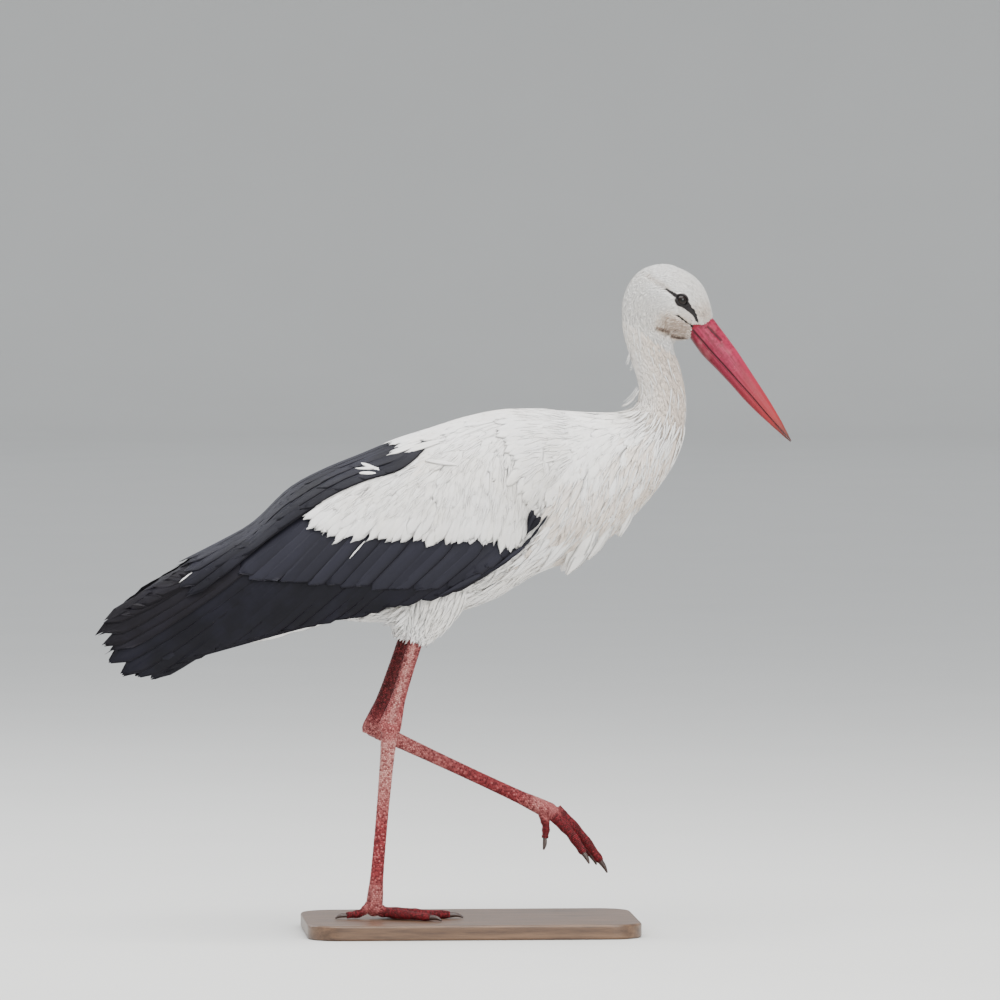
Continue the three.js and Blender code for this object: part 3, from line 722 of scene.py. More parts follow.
def legPlace(points):
    # share of the way down each leg, 0 at the knee, 1 at the ankle and 2 at the toes' root, and the side
    left = (points[:, 1] > 4) & ((points[:, 2] > 58) | (points[:, 0] > 40))
    share = np.zeros(len(points))
    for leg, mine in ((rightLeg, ~left), (leftLeg, left)):
        best = np.full(mine.sum(), 1e9)
        found = np.zeros(mine.sum())
        for index, (start, end) in enumerate((("knee", "ankle"), ("ankle", "toeRoot"))):
            start, run = np.array(leg[start]), np.subtract(leg[end], leg[start])
            part = np.clip((points[mine] - start) @ run / (run @ run), 0, 1)
            away = np.linalg.norm(points[mine] - start - part[:, None] * run, axis=1)
            found = np.where(away < best, part + index, found)
            best = np.minimum(best, away)
        share[mine] = found + smooth(6, 30, best) * (found > 1.9)
    return share, left


def legTones(points):
    # pale dust round the ankles, a painted highlight stripe down the standing shank, maroon on the lifted
    # leg's shank that is painted shade, and dark, brownish toes
    share, left = legPlace(points)
    pale = 0.95 * smooth(1.02, 1.1, share) * smooth(1.6, 1.2, share)
    pale = pale + 0.3 * smooth(0.8, 1.0, share) * (share < 1.05)
    pale = pale * np.where(left, 0.45, 1.0) + 0.48 * smooth(1.8, 1.95, share) * smooth(2.6, 2.0, share)
    pale = pale + 0.3 * left * np.exp(-((share - 1.0) / 0.08)**2) + 0.14 * (share < 2)
    # across the standing leg's shank, from -1 behind to 1 in front: a painted highlight, a pale stripe, runs
    # down it
    across = (points[:, 0] + 66 - 0.294 * (points[:, 2] - 358)) / 8.4
    highlightStripe = np.exp(-((across + 0.15) / 0.62)**2) * (share < 0.95) * ~left
    pale = pale + (0.8 * highlightStripe + 0.12 * ~left * (share < 0.95)) * smooth(0.0, 0.12, share)
    # maroon over the lifted leg's shank is painted shade for that far leg; on the standing shank a weaker
    # maroon near the knee is kept off the painted highlight
    maroon = np.where(left, smooth(0.98, 0.75, share), 0.45 * smooth(0.9, 0.3, share) * (1 - highlightStripe))
    maroon = maroon + 0.85 * smooth(1.98, 2.55, share)
    maroon = maroon + 0.25 * left * smooth(1.2, 1.5, share) * (share < 1.9)
    return {"pale": np.clip(pale, 0, 1), "maroon": np.clip(maroon, 0, 1)}


def legColour(tree, tone):
    # red, with pale pink dust and a painted highlight, and maroon that is painted shade on the lifted leg's
    # shank, broken up by one number for each scale
    speck = wander(tree, tone, noiseAt(tree, 260.0, 3.0), 0.3)
    maroon = read(tree, "maroon")
    bright = times(tree, remap(tree, speck, 0.92, 1.1, 0.0, 0.6), calc(tree, "SUBTRACT", 1.0, maroon, True))
    # the pale share is dust and the painted highlight stripe
    dustAndHighlight = times(tree, read(tree, "pale"), remap(tree, speck, 0.15, 0.9, 0.15, 1.0))
    return paint(
        tree, colour(0.080, 0.003, 0.007), (remap(tree, speck, 0.1, 1.0), colour(0.27, 0.009, 0.020)),
        (bright, colour(0.50, 0.17, 0.165)), (dustAndHighlight, colour(0.47, 0.23, 0.205)),
        # maroon, which on the far shank is painted shade
        (times(tree, maroon, remap(tree, speck, 1.1, 0.3, 0.5, 1.0)), colour(0.045, 0.006, 0.006)))


def skinMaterial():
    material, tree, shader = newMaterial("skin", 0.55, Specular_IOR_Level=0.25)
    dark = paint(tree, colour(0.004, 0.0035, 0.004), (noiseAt(tree, 300.0), colour(0.016, 0.012, 0.013)))
    crackPlace = {"Vector": objectCoords(tree), "Scale": 420.0}
    cracks = addNode(tree, "TexVoronoi", crackPlace, feature="DISTANCE_TO_EDGE").outputs["Distance"]
    depth = remap(tree, cracks, 0.0, 0.12)
    legs = paint(tree, colour(0.10, 0.012, 0.015), (depth, legColour(tree, noiseAt(tree, 500.0))))
    shade = paint(
        tree, colour(0.74, 0.70, 0.67), (noiseAt(tree, 60.0), colour(0.82, 0.79, 0.76)),
        (read(tree, "stain"), colour(0.20, 0.13, 0.09)), (read(tree, "cere"), colour(0.19, 0.006, 0.020)),
        (read(tree, "bare"), dark), (read(tree, "legs"), legs))
    rough = wander(tree, 0.42, noiseAt(tree, 150.0), 0.25)
    finish(tree, shader, shade, calc(tree, "ADD", depth, noiseAt(tree, 700.0)), 0.25 * mm, 0.5, rough)
    return material


skin = makeSkin()
skinPoints = vertexArray(skin)
skinX, skinZ = skinPoints[:, 0], skinPoints[:, 2]
facePart = skinZ > 690
gapeAway = segmentShare(skinX, skinZ, *gape)[1]
bareFace = np.maximum(smooth(0.9, 0.0, bareDistance(skinX, skinZ)), smooth(1.9, 1.2, gapeAway))
# the skin's stain holds the face's buff, the brow's painted shade and the painted shadow in the jaw's crease
setAttributes(skin, bare=bareFace * facePart, cere=smooth(0.6, -0.4, behindBill(skinX, skinZ)) * facePart,
              stain=np.clip(faceStainAndBrowShade(skinX, skinZ) + jawCreaseShadow(skinX, skinZ), 0, 1) * facePart,
              legs=smooth(372, 362, skinZ), **legTones(skinPoints))
dress(skin, skinMaterial(), "leg_skin", "head", "neck_upper", "neck_lower", "trunk",
      *[f"{sideName(side)}_{bone}" for side in (1, -1)
        for bone in ("thigh", "shank", "tarsus", "hallux", "inner_toe", "middle_toe", "outer_toe")])
print("skin:", len(skin.data.loops) - 2 * len(skin.data.polygons), "triangles")


# scales of the legs and feet

scaleLook = {"spacing": 2.65, "reach": 0.56, "rise": 0.42, "sunk": 0.25, "seed": 11, "toeSize": 0.86,
             "toeStretch": 1.15}


def scatter(surface, outward, uRange, vRange, spacing, seed, keep=None, reach=smallSteps):
    # places spread evenly over the surface: a low-discrepancy sequence in u and v, thinned where the
    # surface is small for its parameters or the spacing is wide; spacing is a table of stations and the
    # distance there, and keep is a function of u and v
    random = np.random.default_rng(seed)
    probes = 4000
    goldenSteps = 0.7548776662466927, 0.5698402909980532

    def density(u, v):
        _, alongU, alongV, _ = frameOn(surface, u, v, outward, reach)
        area = np.linalg.norm(np.cross(alongU, alongV), axis=-1)
        return area / np.interp(u, *spacing)**2

    spanU, spanV = uRange[1] - uRange[0], vRange[1] - vRange[0]
    tryU = uRange[0] + spanU * random.random(probes)
    tryV = vRange[0] + spanV * random.random(probes)
    most = np.quantile(density(tryU, tryV), 0.995)
    order = np.arange(int(most * spanU * spanV))
    u = uRange[0] + spanU * ((0.5 + order * goldenSteps[0]) % 1)
    v = vRange[0] + spanV * ((0.5 + order * goldenSteps[1]) % 1)
    kept = random.random(len(u)) < density(u, v) / most
    if keep is not None:
        kept &= keep(u, v)
    return u[kept], v[kept]


def makeScales(leg):
    look = scaleLook
    random = np.random.default_rng(look["seed"] + leg["side"])
    turns = np.arange(6) / 6 * 2 * math.pi
    rings, tones = [], []
    for index, rows in enumerate(bareLimbs(leg)):
        wide, stretch = (1.0, 1.0) if index < 2 else (look["toeSize"], look["toeStretch"])
        surface, last = limbSurface(rows), len(rows) - 1
        spacing = look["spacing"] * wide
        girth = 2 * math.pi * np.mean([row[3] + row[4] for row in rows]) / 2
        length = pathLengths(np.array(rows)[:, :3])[-1]
        around = max(int(girth / spacing), 6)
        along = int(length / (spacing * 0.87))
        i, j = np.meshgrid(np.arange(along), np.arange(around), indexing="ij")
        # stations at even lengths along the limb
        fine = np.linspace(0, last, 400)
        lengths = pathLengths(through(rows)(fine)[:, :3])
        u = np.interp((i + 0.5) / along * lengths[-1], lengths, fine).ravel()
        v = ((j + 0.5 * (i % 2)) / around).ravel()
        u = u + random.normal(0, 0.05, u.shape) * last / along
        v = v + random.normal(0, 0.06, v.shape) / around
        point, alongU, _, normal = frameOn(surface, u, v, 1)
        ahead = unit(alongU)
        side = np.cross(normal, ahead)
        size = spacing * look["reach"] * random.uniform(0.88, 1.06, len(u))
        ring = (np.cos(turns)[None, :, None] * side[:, None] * stretch
                + np.sin(turns)[None, :, None] * ahead[:, None]) * size[:, None, None]
        rise = normal[:, None] * look["rise"] * random.uniform(0.75, 1.15, (len(u), 1, 1))
        sink = normal[:, None] * -look["sunk"]
        heart = point[:, None]
        low = heart + 0.05 * ring + sink * 2
        rings.append(np.stack([heart + 0.62 * ring + rise, heart + ring + sink, low], axis=1))
        tones.append(random.random(len(u)))
    rings, tones = np.concatenate(rings), np.concatenate(tones)
    centres = rings[:, 0].mean(axis=1)
    kept = legsOutside(centres) & (centres[:, 2] > ground + 0.7) & (centres[:, 2] < 372)
    rings, tones = rings[kept], tones[kept]
    scales = tubePiece(sideName(leg["side"]) + "_leg_scales", rings)
    tones = np.repeat(tones, rings.shape[1] * rings.shape[2])
    setAttributes(scales, tone=tones, **legTones(rings.reshape(-1, 3)))
    return scales


def legsOutside(points):
    # true for points that no limb's solid covers by more than a scale's depth
    outside = np.ones(len(points), bool)
    for leg, _ in feet:
        for rows in bareLimbs(leg):
            fine = through(rows)(np.linspace(0, len(rows) - 1, 90))
            away = np.linalg.norm(points[:, None] - fine[None, :, :3], axis=2)
            nearest = away.argmin(axis=1)
            size = fine[nearest, 3:5].min(axis=1)
            outside &= away[np.arange(len(points)), nearest] > size - 0.9
    return outside


def scaleMaterial():
    material, tree, shader = newMaterial("leg_scale", 0.5, Specular_IOR_Level=0.22)
    shade = legColour(tree, read(tree, "tone"))
    rough = wander(tree, 0.36, noiseAt(tree, 220.0), 0.3)
    finish(tree, shader, shade, noiseAt(tree, 1500.0, 2.0), 0.08 * mm, 0.5, rough)
    return material


scaleSkin = scaleMaterial()
for leg, _ in feet:
    scales = makeScales(leg)
    dress(scales, scaleSkin, "leg_skin")
    print(f"{scales.name}: {len(scales.data.loops) - 2 * len(scales.data.polygons)} triangles")


# claws

clawLook = {"columns": 14, "rings": 22}


def makeClaws():
    tubes = []
    for (side, name), (_, claw) in toePaths.items():
        radius = toes[name]["radius"]
        rows = [claw[0] + [radius - 2.2, radius - 2.0], claw[1] + [2.6, 2.6], claw[2] + [1.0, 1.2]]
        stations = np.linspace(0, 2, clawLook["rings"])
        tubes.append(closeEnds(tubeRings(limbSurface(rows), stations, clawLook["columns"])))
    return tubePiece("claws", np.stack(tubes))


def clawMaterial():
    material, tree, shader = newMaterial("claw_horn", 0.38, Specular_IOR_Level=0.5)
    streaks = noiseAt(tree, 350.0, 4.0)
    shade = paint(tree, colour(0.016, 0.011, 0.010), (streaks, colour(0.075, 0.045, 0.036)))
    finish(tree, shader, shade, noiseAt(tree, 900.0, 3.0), 0.12 * mm, 0.6)
    return material


claws = makeClaws()
dress(claws, clawMaterial(), "claw_horn", *[f"{sideName(side)}_{name}_claw" for side, name in toePaths])
print("claws ready")


# bill

# by share of the length from the feathers to the tip: height of the ridge and of the lower edge over the
# axis, height of the cutting edge, and half width
billRows = [
    [-0.10, 15.5, -15.0, -11.5, 15.4], [-0.05, 17.4, -17.4, -10.8, 14.8], [0.0, 18.2, -18.2, -10, 13.4],
    [0.07, 17.9, -18.9, -9.3, 12.7], [0.143, 17.6, -19.2, -8.8, 12.2], [0.286, 16.6, -16.6, -7, 10.6],
    [0.43, 14.4, -14.4, -5.4, 8.8], [0.57, 12.2, -13, -3.8, 7.4], [0.714, 9.6, -10.0, -2.8, 5.8],
    [0.857, 6.1, -6.0, -1.4, 4.0], [0.95, 2.9, -3.0, -0.5, 2.2], [1.0, 1, -1, 0, 0.9],
]
billLook = {"rings": 220, "columns": 64, "nostril": [(1.5, 6.2), (24.0, 8.8)], "nostrilDepth": 1.7,
            "nostrilHalf": 1.5}


def billSurface(upper):
    rows = np.array(billRows)
    shares = rows[:, 0]

    def section(share, turn):
        # half an oval above or below the cutting edge: a narrow ridge above, a rounder keel below
        at = np.interp(share, shares, np.arange(len(shares)))
        row = through(rows)(at)
        ridge, mouth, half = row[..., 1 if upper else 2], row[..., 3], row[..., 4]
        edge = mouth + (0.18 if upper else -0.18)
        angle = math.pi * turn
        rise = np.sin(angle)**0.82
        height = edge + (ridge - edge) * rise
        side = np.sign(np.cos(angle)) * half * np.abs(np.cos(angle))**0.86
        along = share * billLength
        inset = np.zeros_like(along)
        if upper:
            away = segmentShare(along, height, *billLook["nostril"])[1]
            inset = billLook["nostrilDepth"] * np.exp(-(away / billLook["nostrilHalf"])**2)
            inset = inset - 0.35 * np.exp(-(away - 2.6)**2) * (np.abs(side) > 1)
        off = height - mouth - (2.6 if upper else -2.4)
        groove = 0.35 * np.exp(-(off / 0.8)**2) * smooth(1.0, 0.2, share)
        side = side - np.sign(side) * (inset + groove) * (np.abs(side) > 0.6)
        x = billRoot[0] + along * billAhead[0] + height * billUp[0]
        z = billRoot[1] + along * billAhead[1] + height * billUp[1]
        return np.stack([x, side, z], -1), along, height, mouth

    return section


def makeMandible(upper):
    share = np.linspace(-0.1, 1, billLook["rings"])
    turn = np.linspace(0, 1, billLook["columns"])
    u, v = np.meshgrid(share, turn, indexing="ij")
    points, along, height, mouth = billSurface(upper)(u, v)
    piece = tubePiece("bill_upper_horn" if upper else "bill_lower_horn", points[None])
    # painted shade in the nostril's groove and along the seam where the mandibles meet
    slit = stroke(along, height, *billLook["nostril"], 1.15) * upper
    setAttributes(piece, far=np.clip(along / billLength, 0, 1), slit=slit, lip=np.exp(-(height - mouth)**2),
                  over=height / 18)
    return piece


def billMaterial():
    # red, paler above than below, with pale flecks, dark mottles, pale scuffs and a brown tip, and painted
    # shade along the seam where the mandibles meet and in the nostril's groove
    material, tree, shader = newMaterial("bill_horn", 0.34, Specular_IOR_Level=0.24)
    far, over = read(tree, "far"), read(tree, "over")
    fibres = noiseAlongBill(tree, 1.0)
    specks = addNode(tree, "TexVoronoi", {"Vector": objectCoords(tree), "Scale": 620.0}).outputs["Distance"]
    patches = [remap(tree, noiseAt(tree, *noise), low, high) for noise, low, high in (
        ((90.0, 3.0), 0.50, 0.66), ((240.0, 4.0), 0.50, 0.66), ((55.0, 5.0), 0.60, 0.72))]
    flecks = times(tree, remap(tree, specks, 0.22, 0.05), patches[0])
    mottle = times(tree, patches[1], remap(tree, far, 0.6, 0.0))
    scuff = times(tree, patches[2], remap(tree, far, 0.45, 0.0))
    red = paint(
        tree, colour(0.14, 0.005, 0.021), (remap(tree, fibres, 0.3, 0.7), colour(0.27, 0.014, 0.052)),
        (remap(tree, over, 0.2, 1.0, 0.0, 0.55), colour(0.29, 0.022, 0.050)),
        (remap(tree, far, 0.3, 0.8, 0.0, 0.8), colour(0.26, 0.024, 0.021)),
        (remap(tree, over, -0.3, -1.0, 0.0, 0.75), colour(0.11, 0.005, 0.010)),
        (times(tree, flecks, 0.55), colour(0.60, 0.32, 0.32)),
        (times(tree, mottle, 0.75), colour(0.085, 0.003, 0.010)),
        (times(tree, scuff, 0.35), colour(0.36, 0.13, 0.14)),
        (remap(tree, wander(tree, far, fibres, 0.06), 0.82, 1.0), colour(0.10, 0.035, 0.025)),
        # the last two coats are painted shade along the mandibles' seam and in the nostril's groove
        (read(tree, "lip"), colour(0.035, 0.006, 0.008)), (read(tree, "slit"), colour(0.02, 0.004, 0.006)))
    rough = wander(tree, 0.27, noiseAt(tree, 160.0, 4.0), 0.28)
    pits = wander(tree, remap(tree, specks, 0.0, 0.35), fibres, 1.6)
    finish(tree, shader, red, pits, 0.16 * mm, 0.55, rough)
    return material


def noiseAlongBill(tree, size):
    # noise drawn out along the bill: the object is turned to the bill's axis and squeezed along it
    turn = math.atan2(billAhead[1], billAhead[0])
    place = addNode(tree, "Mapping", {"Vector": objectCoords(tree), "Rotation": (0, turn, 0)}).outputs[0]
    place = addNode(tree, "Mapping", {"Vector": place, "Scale": (28, 420, 420)}).outputs[0]
    return addNode(tree, "TexNoise", {"Vector": place, "Scale": size, "Detail": 4.0}).outputs["Fac"]


hornMaterial = billMaterial()
for upper in (True, False):
    dress(makeMandible(upper), hornMaterial, "bill_horn", "bill_upper" if upper else "bill_lower")
print("bill ready")


# eyes

eyeLook = {"radius": 8.0, "rings": 48, "columns": 64, "pupil": 0.30, "iris": 0.62}


def makeEye(side):
    # a ball whose poles lie on the eye's outward axis, a little fuller over the pupil
    polar = np.linspace(0.02, math.pi - 0.02, eyeLook["rings"])
    turn = np.arange(eyeLook["columns"]) / eyeLook["columns"] * 2 * math.pi
    p, t = np.meshgrid(polar, turn, indexing="ij")
    outward, along, across = eyeAxes(side)
    radius = eyeLook["radius"] + 0.25 * np.exp(-(p / 0.5)**2)
    centre = np.array(lids["centre"]) * [1, side, 1]
    level = along * np.cos(t)[..., None] + across * np.sin(t)[..., None]
    points = centre + outward * (radius * np.cos(p))[..., None] + level * (radius * np.sin(p))[..., None]
    eye = tubePiece(f"eyeball_{sideName(side)}", points[None])
    setAttributes(eye, polar=p)
    dress(eye, eyeMaterial, "eye_gloss", f"eye_{sideName(side)}")


def makeEyeMaterial():
    # a black pupil, a dark brown iris and a black rim, by the angle from the eye's axis
    material, tree, shader = newMaterial("eye_gloss", 0.05, Specular_IOR_Level=0.25)
    polar, pupil, rim = read(tree, "polar"), eyeLook["pupil"], eyeLook["iris"]
    streaks = noiseAt(tree, 1200.0, 2.0)
    iris = paint(tree, colour(0.006, 0.004, 0.0035), (streaks, colour(0.016, 0.009, 0.007)))
    shade = paint(tree, colour(0.002, 0.002, 0.002), (remap(tree, polar, pupil, pupil + 0.04), iris),
                  (remap(tree, polar, rim, rim + 0.12), colour(0.006, 0.005, 0.005)))
    tree.links.new(shade, shader.inputs["Base Color"])
    return material


eyeMaterial = makeEyeMaterial()
for side in (1, -1):
    makeEye(side)
print("eyes ready")


# feathers: closed vanes laid on a surface

# a vane's ring: places across its top from edge to edge, then back along its underside
vaneRings = {
    "fine": {"top": [-1, 0, 1], "under": []},
    "soft": {"top": [-1, -0.5, 0, 0.5, 1], "under": [0.0]},
    "quill": {"top": [-1, -0.8, -0.5, -0.2, -0.06, 0.0, 0.06, 0.2, 0.5, 0.8, 1], "under": [0.6, 0.0, -0.6]},
}
patchSize = 0.003  # each tuft's patch on the baking map


def outline(kind, t):
    # share of the full width by share of the length, for round, pointed, blunt or tufted tips
    if kind == "round":
        past = np.clip((t - 0.58) / 0.42, 0, 1)
        return (0.4 + 0.6 * smooth(0, 0.4, t)) * np.sqrt(np.clip(1 - past**2.4, 0.03, 1))
    if kind == "lance":
        return (0.45 + 0.55 * smooth(0, 0.25, t)) * (1 - 0.93 * smooth(0.35, 1.02, t))
    if kind == "blunt":
        past = np.clip((t - 0.86) / 0.14, 0, 1)
        return (0.6 + 0.4 * smooth(0, 0.3, t)) * np.sqrt(np.clip(1 - past**2, 0.02, 1))
    return (0.5 + 0.5 * smooth(0, 0.35, t)) * (1 - 0.9 * smooth(0.62, 1.04, t)**1.4)


def ringOf(look):
    # places across a vane, round its top and back along its underside, and true for those on the underside
    ring = vaneRings[look["ring"]]
    x = np.array(ring["top"] + ring["under"])
    return x, np.arange(len(x)) >= len(ring["top"])


def bedOf(points, t, x, place, patch, **layers):
    # the bed's points with the numbers that each carries for the materials, and its place on the baking map
    shape = points.shape[:3]
    layers = {"along": t, "shaft": np.abs(x), **layers}
    layers = {key: np.broadcast_to(value, shape) for key, value in layers.items()}
    onPatch = np.stack([layers["along"] - 0.5, np.broadcast_to(x / 2, shape)], -1)
    return {"points": points, "uv": place[:, None, None] + patch * onPatch, **layers}


def vaneBed(surface, outward, axisU, axisV, lengths, widths, look, seed, unwrap, stain=0.0, side=0,
            reach=smallSteps):
    # every feather is a grid: rings along its axis (axisU, axisV), each ring closed over the vane's top
    # and underside. A point is the surface's point beside the axis plus the normal times the lift, which
    # grows from quill to tip
    random = np.random.default_rng(seed)
    count, rings = axisU.shape
    x, under = ringOf(look)
    t = np.linspace(0, 1, rings)[None, :, None]
    point, alongU, alongV, normal = frameOn(surface, axisU, axisV, outward, reach)
    ahead = np.gradient(point, axis=1)
    ahead = unit(ahead - normal * dot(ahead, normal))
    sideU, sideV = toParameters(alongU, alongV, np.cross(normal, ahead))
    half = (widths[:, None] / 2 * outline(look["outline"], t[:, :, 0]))[..., None]
    waver = 1 + look.get("waver", 0.0) * random.normal(0, 1, (count, rings, len(x)))
    offset = half * x * waver
    base, _, _, up = frameOn(surface, axisU[..., None] + sideU[..., None] * offset,
                             axisV[..., None] + sideV[..., None] * offset, outward, reach)
    low, high = look["lift"]
    rise = low + (high - low) * t**look.get("bend", 1.3)
    rise = rise + random.uniform(-0.5, 0.5, (count, 1, 1)) * look.get("unrest", 0.0) * t
    rise = rise + look.get("curl", 0.0) * t**5
    dome = np.where(under, -0.35, 1 - np.abs(x)**1.6)
    shaft = look.get("shaft", 0.0) * (1 - 0.8 * t) * np.where(under, 0, np.exp(-(x / 0.05)**2))
    lift = rise + look["thick"] * (1 - 0.65 * t) * dome + shaft - look.get("camber", 0.0) * half * x**2
    lift = lift + look.get("tilt", 0.0) * (1 - side * x) / 2 * smooth(0, 0.2, t)
    slack = look.get("fringe", 0.0) * random.normal(0, 1, (count, 1, len(x))) * smooth(0.55, 1, t)
    points = base + up * lift[..., None] + ahead[:, :, None] * (slack * lengths[:, None, None])[..., None]
    tone = random.uniform(*look.get("tones", (0, 1)), (count, 1, 1))
    barb = (lengths[:, None, None] * t - np.abs(offset) * 1.1) * look.get("barbs", 1.0)
    stain = stain(points) if callable(stain) else np.broadcast_to(stain, count)[:, None, None]
    place, patch = unwrap(axisU[:, 0], axisV[:, 0]), look.get("patch", patchSize)
    return bedOf(points, t, x, place, patch, tone=tone, barb=barb, stain=stain)


def freeVanes(start, end, widths, normals, bow, look, seed, cells=None, sections=(12, 25)):
    # vanes in the air between two points, their faces turned to the normals and bowed that way; their
    # patches lie in the cells given, or at the quills' places on the body between the sections given
    random = np.random.default_rng(seed)
    count = len(start)
    x, under = ringOf(look)
    t = np.linspace(0, 1, look["rings"])[None, :, None]
    run = end - start
    lengths = np.linalg.norm(run, axis=1)
    ahead = unit(run)
    normal = unit(normals - ahead * dot(normals, ahead))
    across = np.cross(normal, ahead)
    axis = start[:, None] + run[:, None] * t + normal[:, None] * bow * np.sin(math.pi * t)
    offset = widths[:, None, None] / 2 * outline(look["outline"], t) * x
    height = look["thick"] * (1 - 0.6 * t) * np.where(under, -0.35, 1 - np.abs(x)**1.6)
    height = height + look.get("shaft", 0.0) * (1 - 0.8 * t) * np.exp(-(x / 0.05)**2) * ~under
    points = axis[:, :, None] + across[:, None, None] * offset[..., None]
    points = points + normal[:, None, None] * height[..., None]
    if cells is None:
        station, share = onCurve(bodyCurve, start[:, 0], start[:, 2], *sections)
        angle = np.arccos(np.clip(1 - 2 * share, -1, 1)) * np.where(start[:, 1] < 0, -1, 1)
        places = bodyUnwrap(station, angle) + random.normal(0, 0.003, (count, 2))
        cells = np.clip(places, 0.01, 0.99), patchSize
    barb = lengths[:, None, None] * t - np.abs(offset)
    return bedOf(points, t, x, *cells, tone=random.random((count, 1, 1)), barb=barb, stain=0.0)


# loose plumes in the air: the breast's locks, and a little changed the nape's, the vent's and the tail's
plumeLook = {"ring": "soft", "outline": "tuft", "rings": 10, "thick": 0.8}


def walk(surface, outward, u, v, aim, lengths, rings, reach=smallSteps, wander=0.0, seed=0):
    # carries each quill over the surface in equal steps along the lie that aim gives
    random = np.random.default_rng(seed + 5)
    turn = random.normal(0, 1, len(u)) * wander
    axisU, axisV = [u], [v]
    for _ in range(rings - 1):
        point, alongU, alongV, normal = frameOn(surface, u, v, outward, reach)
        ahead = aim(point, unit(alongU), normal)
        ahead = unit(ahead - normal * dot(ahead, normal))
        ahead = ahead * np.cos(turn)[:, None] + np.cross(normal, ahead) * np.sin(turn)[:, None]
        stepU, stepV = toParameters(alongU, alongV, ahead)
        step = lengths / (rings - 1)
        u, v = u + stepU * step, v + stepV * step
        axisU.append(u)
        axisV.append(v)
    return np.stack(axisU, 1), np.stack(axisV, 1)


def plantBed(surface, outward, roots, aim, look, lengths, seed, unwrap, reach=smallSteps, **more):
    # feathers whose lengths and widths vary a little at random
    random = np.random.default_rng(seed + 1)
    count = len(roots[0])
    lengths = lengths * random.uniform(1 - look["vary"], 1 + look["vary"], count)
    widths = lengths * look["wide"] * random.uniform(0.88, 1.12, count)
    axisU, axisV = walk(surface, outward, *roots, aim, lengths, look["rings"], reach, look["wander"], seed)
    return vaneBed(surface, outward, axisU, axisV, lengths, widths, look, seed, unwrap, reach=reach, **more)


def bodyBed(look, seed, stations, spacing, lengths, keep=None, aim=None, trim=None, stain=None, turn=None):
    # a bed on the body: lengths is a table by station or a function of it, trim cuts the feathers that
    # would lie over something else or drops them as 0, and stain is worked out from the roots
    roots = scatter(bodySurface, 1, stations, turn or (-math.pi, math.pi), spacing, seed, keep)
    lengths = lengths(roots[0]) if callable(lengths) else np.interp(roots[0], *lengths)
    if trim is not None:
        lengths = trim(*roots, lengths)
    roots, lengths = [place[lengths > 0] for place in roots], lengths[lengths > 0]
    return plantBed(bodySurface, 1, roots, aim or bodyAim, look, lengths, seed + 1, bodyUnwrap,
                    stain=stain(*roots) if stain else 0.0)


def growCoat(name, beds, material, slot, *nodes):
    faceSets, start = [], 0
    for bed in beds:
        points, quads, ends = closedTubes(bed["points"])
        faceSets += [quads + start, ends + start]
        start += len(points)
    flat = {key: np.concatenate([bed[key].reshape(-1, *bed[key].shape[3:]) for bed in beds])
            for key in beds[0]}
    coat, corners = putMesh(name, flat["points"], faceSets)
    setAttributes(coat, **{key: flat[key] for key in ("along", "shaft", "tone", "barb", "stain")})
    # the corners of a vane's end caps are spun round a little, so that no cap is a line on the baking map
    isCap = np.concatenate([np.full(faces.size, index % 2) for index, faces in enumerate(faceSets)])
    spin = np.arange(len(corners)) * 2.4
    shift = np.stack([np.cos(spin), np.sin(spin)], -1) * patchSize * 0.1 * isCap[:, None]
    layer = coat.data.uv_layers.new(name="OFBake")
    layer.data.foreach_set("uv", (flat["uv"][corners] + shift).astype(np.float32).ravel())
    dress(coat, material, slot, *nodes)
    triangles = sum(len(faces) * (faces.shape[1] - 2) for faces in faceSets)
    print(f"{name}: {sum(len(bed['points']) for bed in beds)} feathers, {triangles} triangles")


# the skin's unwrap: down the body by length of the middle line, across by girth
spineStations = np.linspace(-1, bodyEnd + 2, 260)
spineRows = bodyCurve(spineStations)
spineMiddle = (spineRows[:, 0:2] + spineRows[:, 2:4]) / 2
spineLength = pathLengths(spineMiddle)
spineGirth = np.linalg.norm(spineRows[:, 0:2] - spineRows[:, 2:4], axis=1) + 2 * spineRows[:, 4]


def bodyUnwrap(station, angle):
    turn = wrapped(angle)
    far = np.interp(station, spineStations, spineLength) / spineLength[-1]
    girth = np.interp(station, spineStations, spineGirth) / spineGirth.max()
    return np.stack([0.01 + 0.98 * far, 0.5 + 0.48 * turn / math.pi * girth], -1)


def wingUnwrap(station, angle):
    far = 0.02 + 0.96 * np.clip((station + 1) / 14, 0, 1)
    return np.stack([far, 0.03 + 0.9 * np.clip(angle / 2.6, -0.02, 1)], -1)


def limbUnwrap(station, turn):
    return np.stack([0.03 + 0.9 * np.clip(station / 8, 0, 1), 0.02 + 0.95 * (turn % 1)], -1)


# head and neck

faceLook = {"ring": "fine", "outline": "lance", "rings": 4, "vary": 0.25, "wide": 0.33,
            "lift": (0.0, 1.0), "thick": 0.1, "unrest": 0.25, "wander": 0.12, "bend": 0.5, "barbs": 3.0}
headLook = {**faceLook, "outline": "tuft", "wide": 0.27, "lift": (0.1, 1.6), "thick": 0.14, "unrest": 0.3,
            "wander": 0.10}
neckLook = {"ring": "fine", "outline": "tuft", "rings": 5, "vary": 0.3, "wide": 0.24,
            "lift": (0.2, 2.1), "thick": 0.12, "unrest": 0.25, "wander": 0.06, "bend": 0.45, "barbs": 2.5,
            "camber": 0.15, "curl": -0.3}
hackleLook = {"ring": "fine", "outline": "lance", "rings": 6, "vary": 0.3, "wide": 0.09,
              "lift": (1.1, 2.6), "thick": 0.16, "unrest": 0.6, "wander": 0.12, "bend": 0.7, "barbs": 2.5}


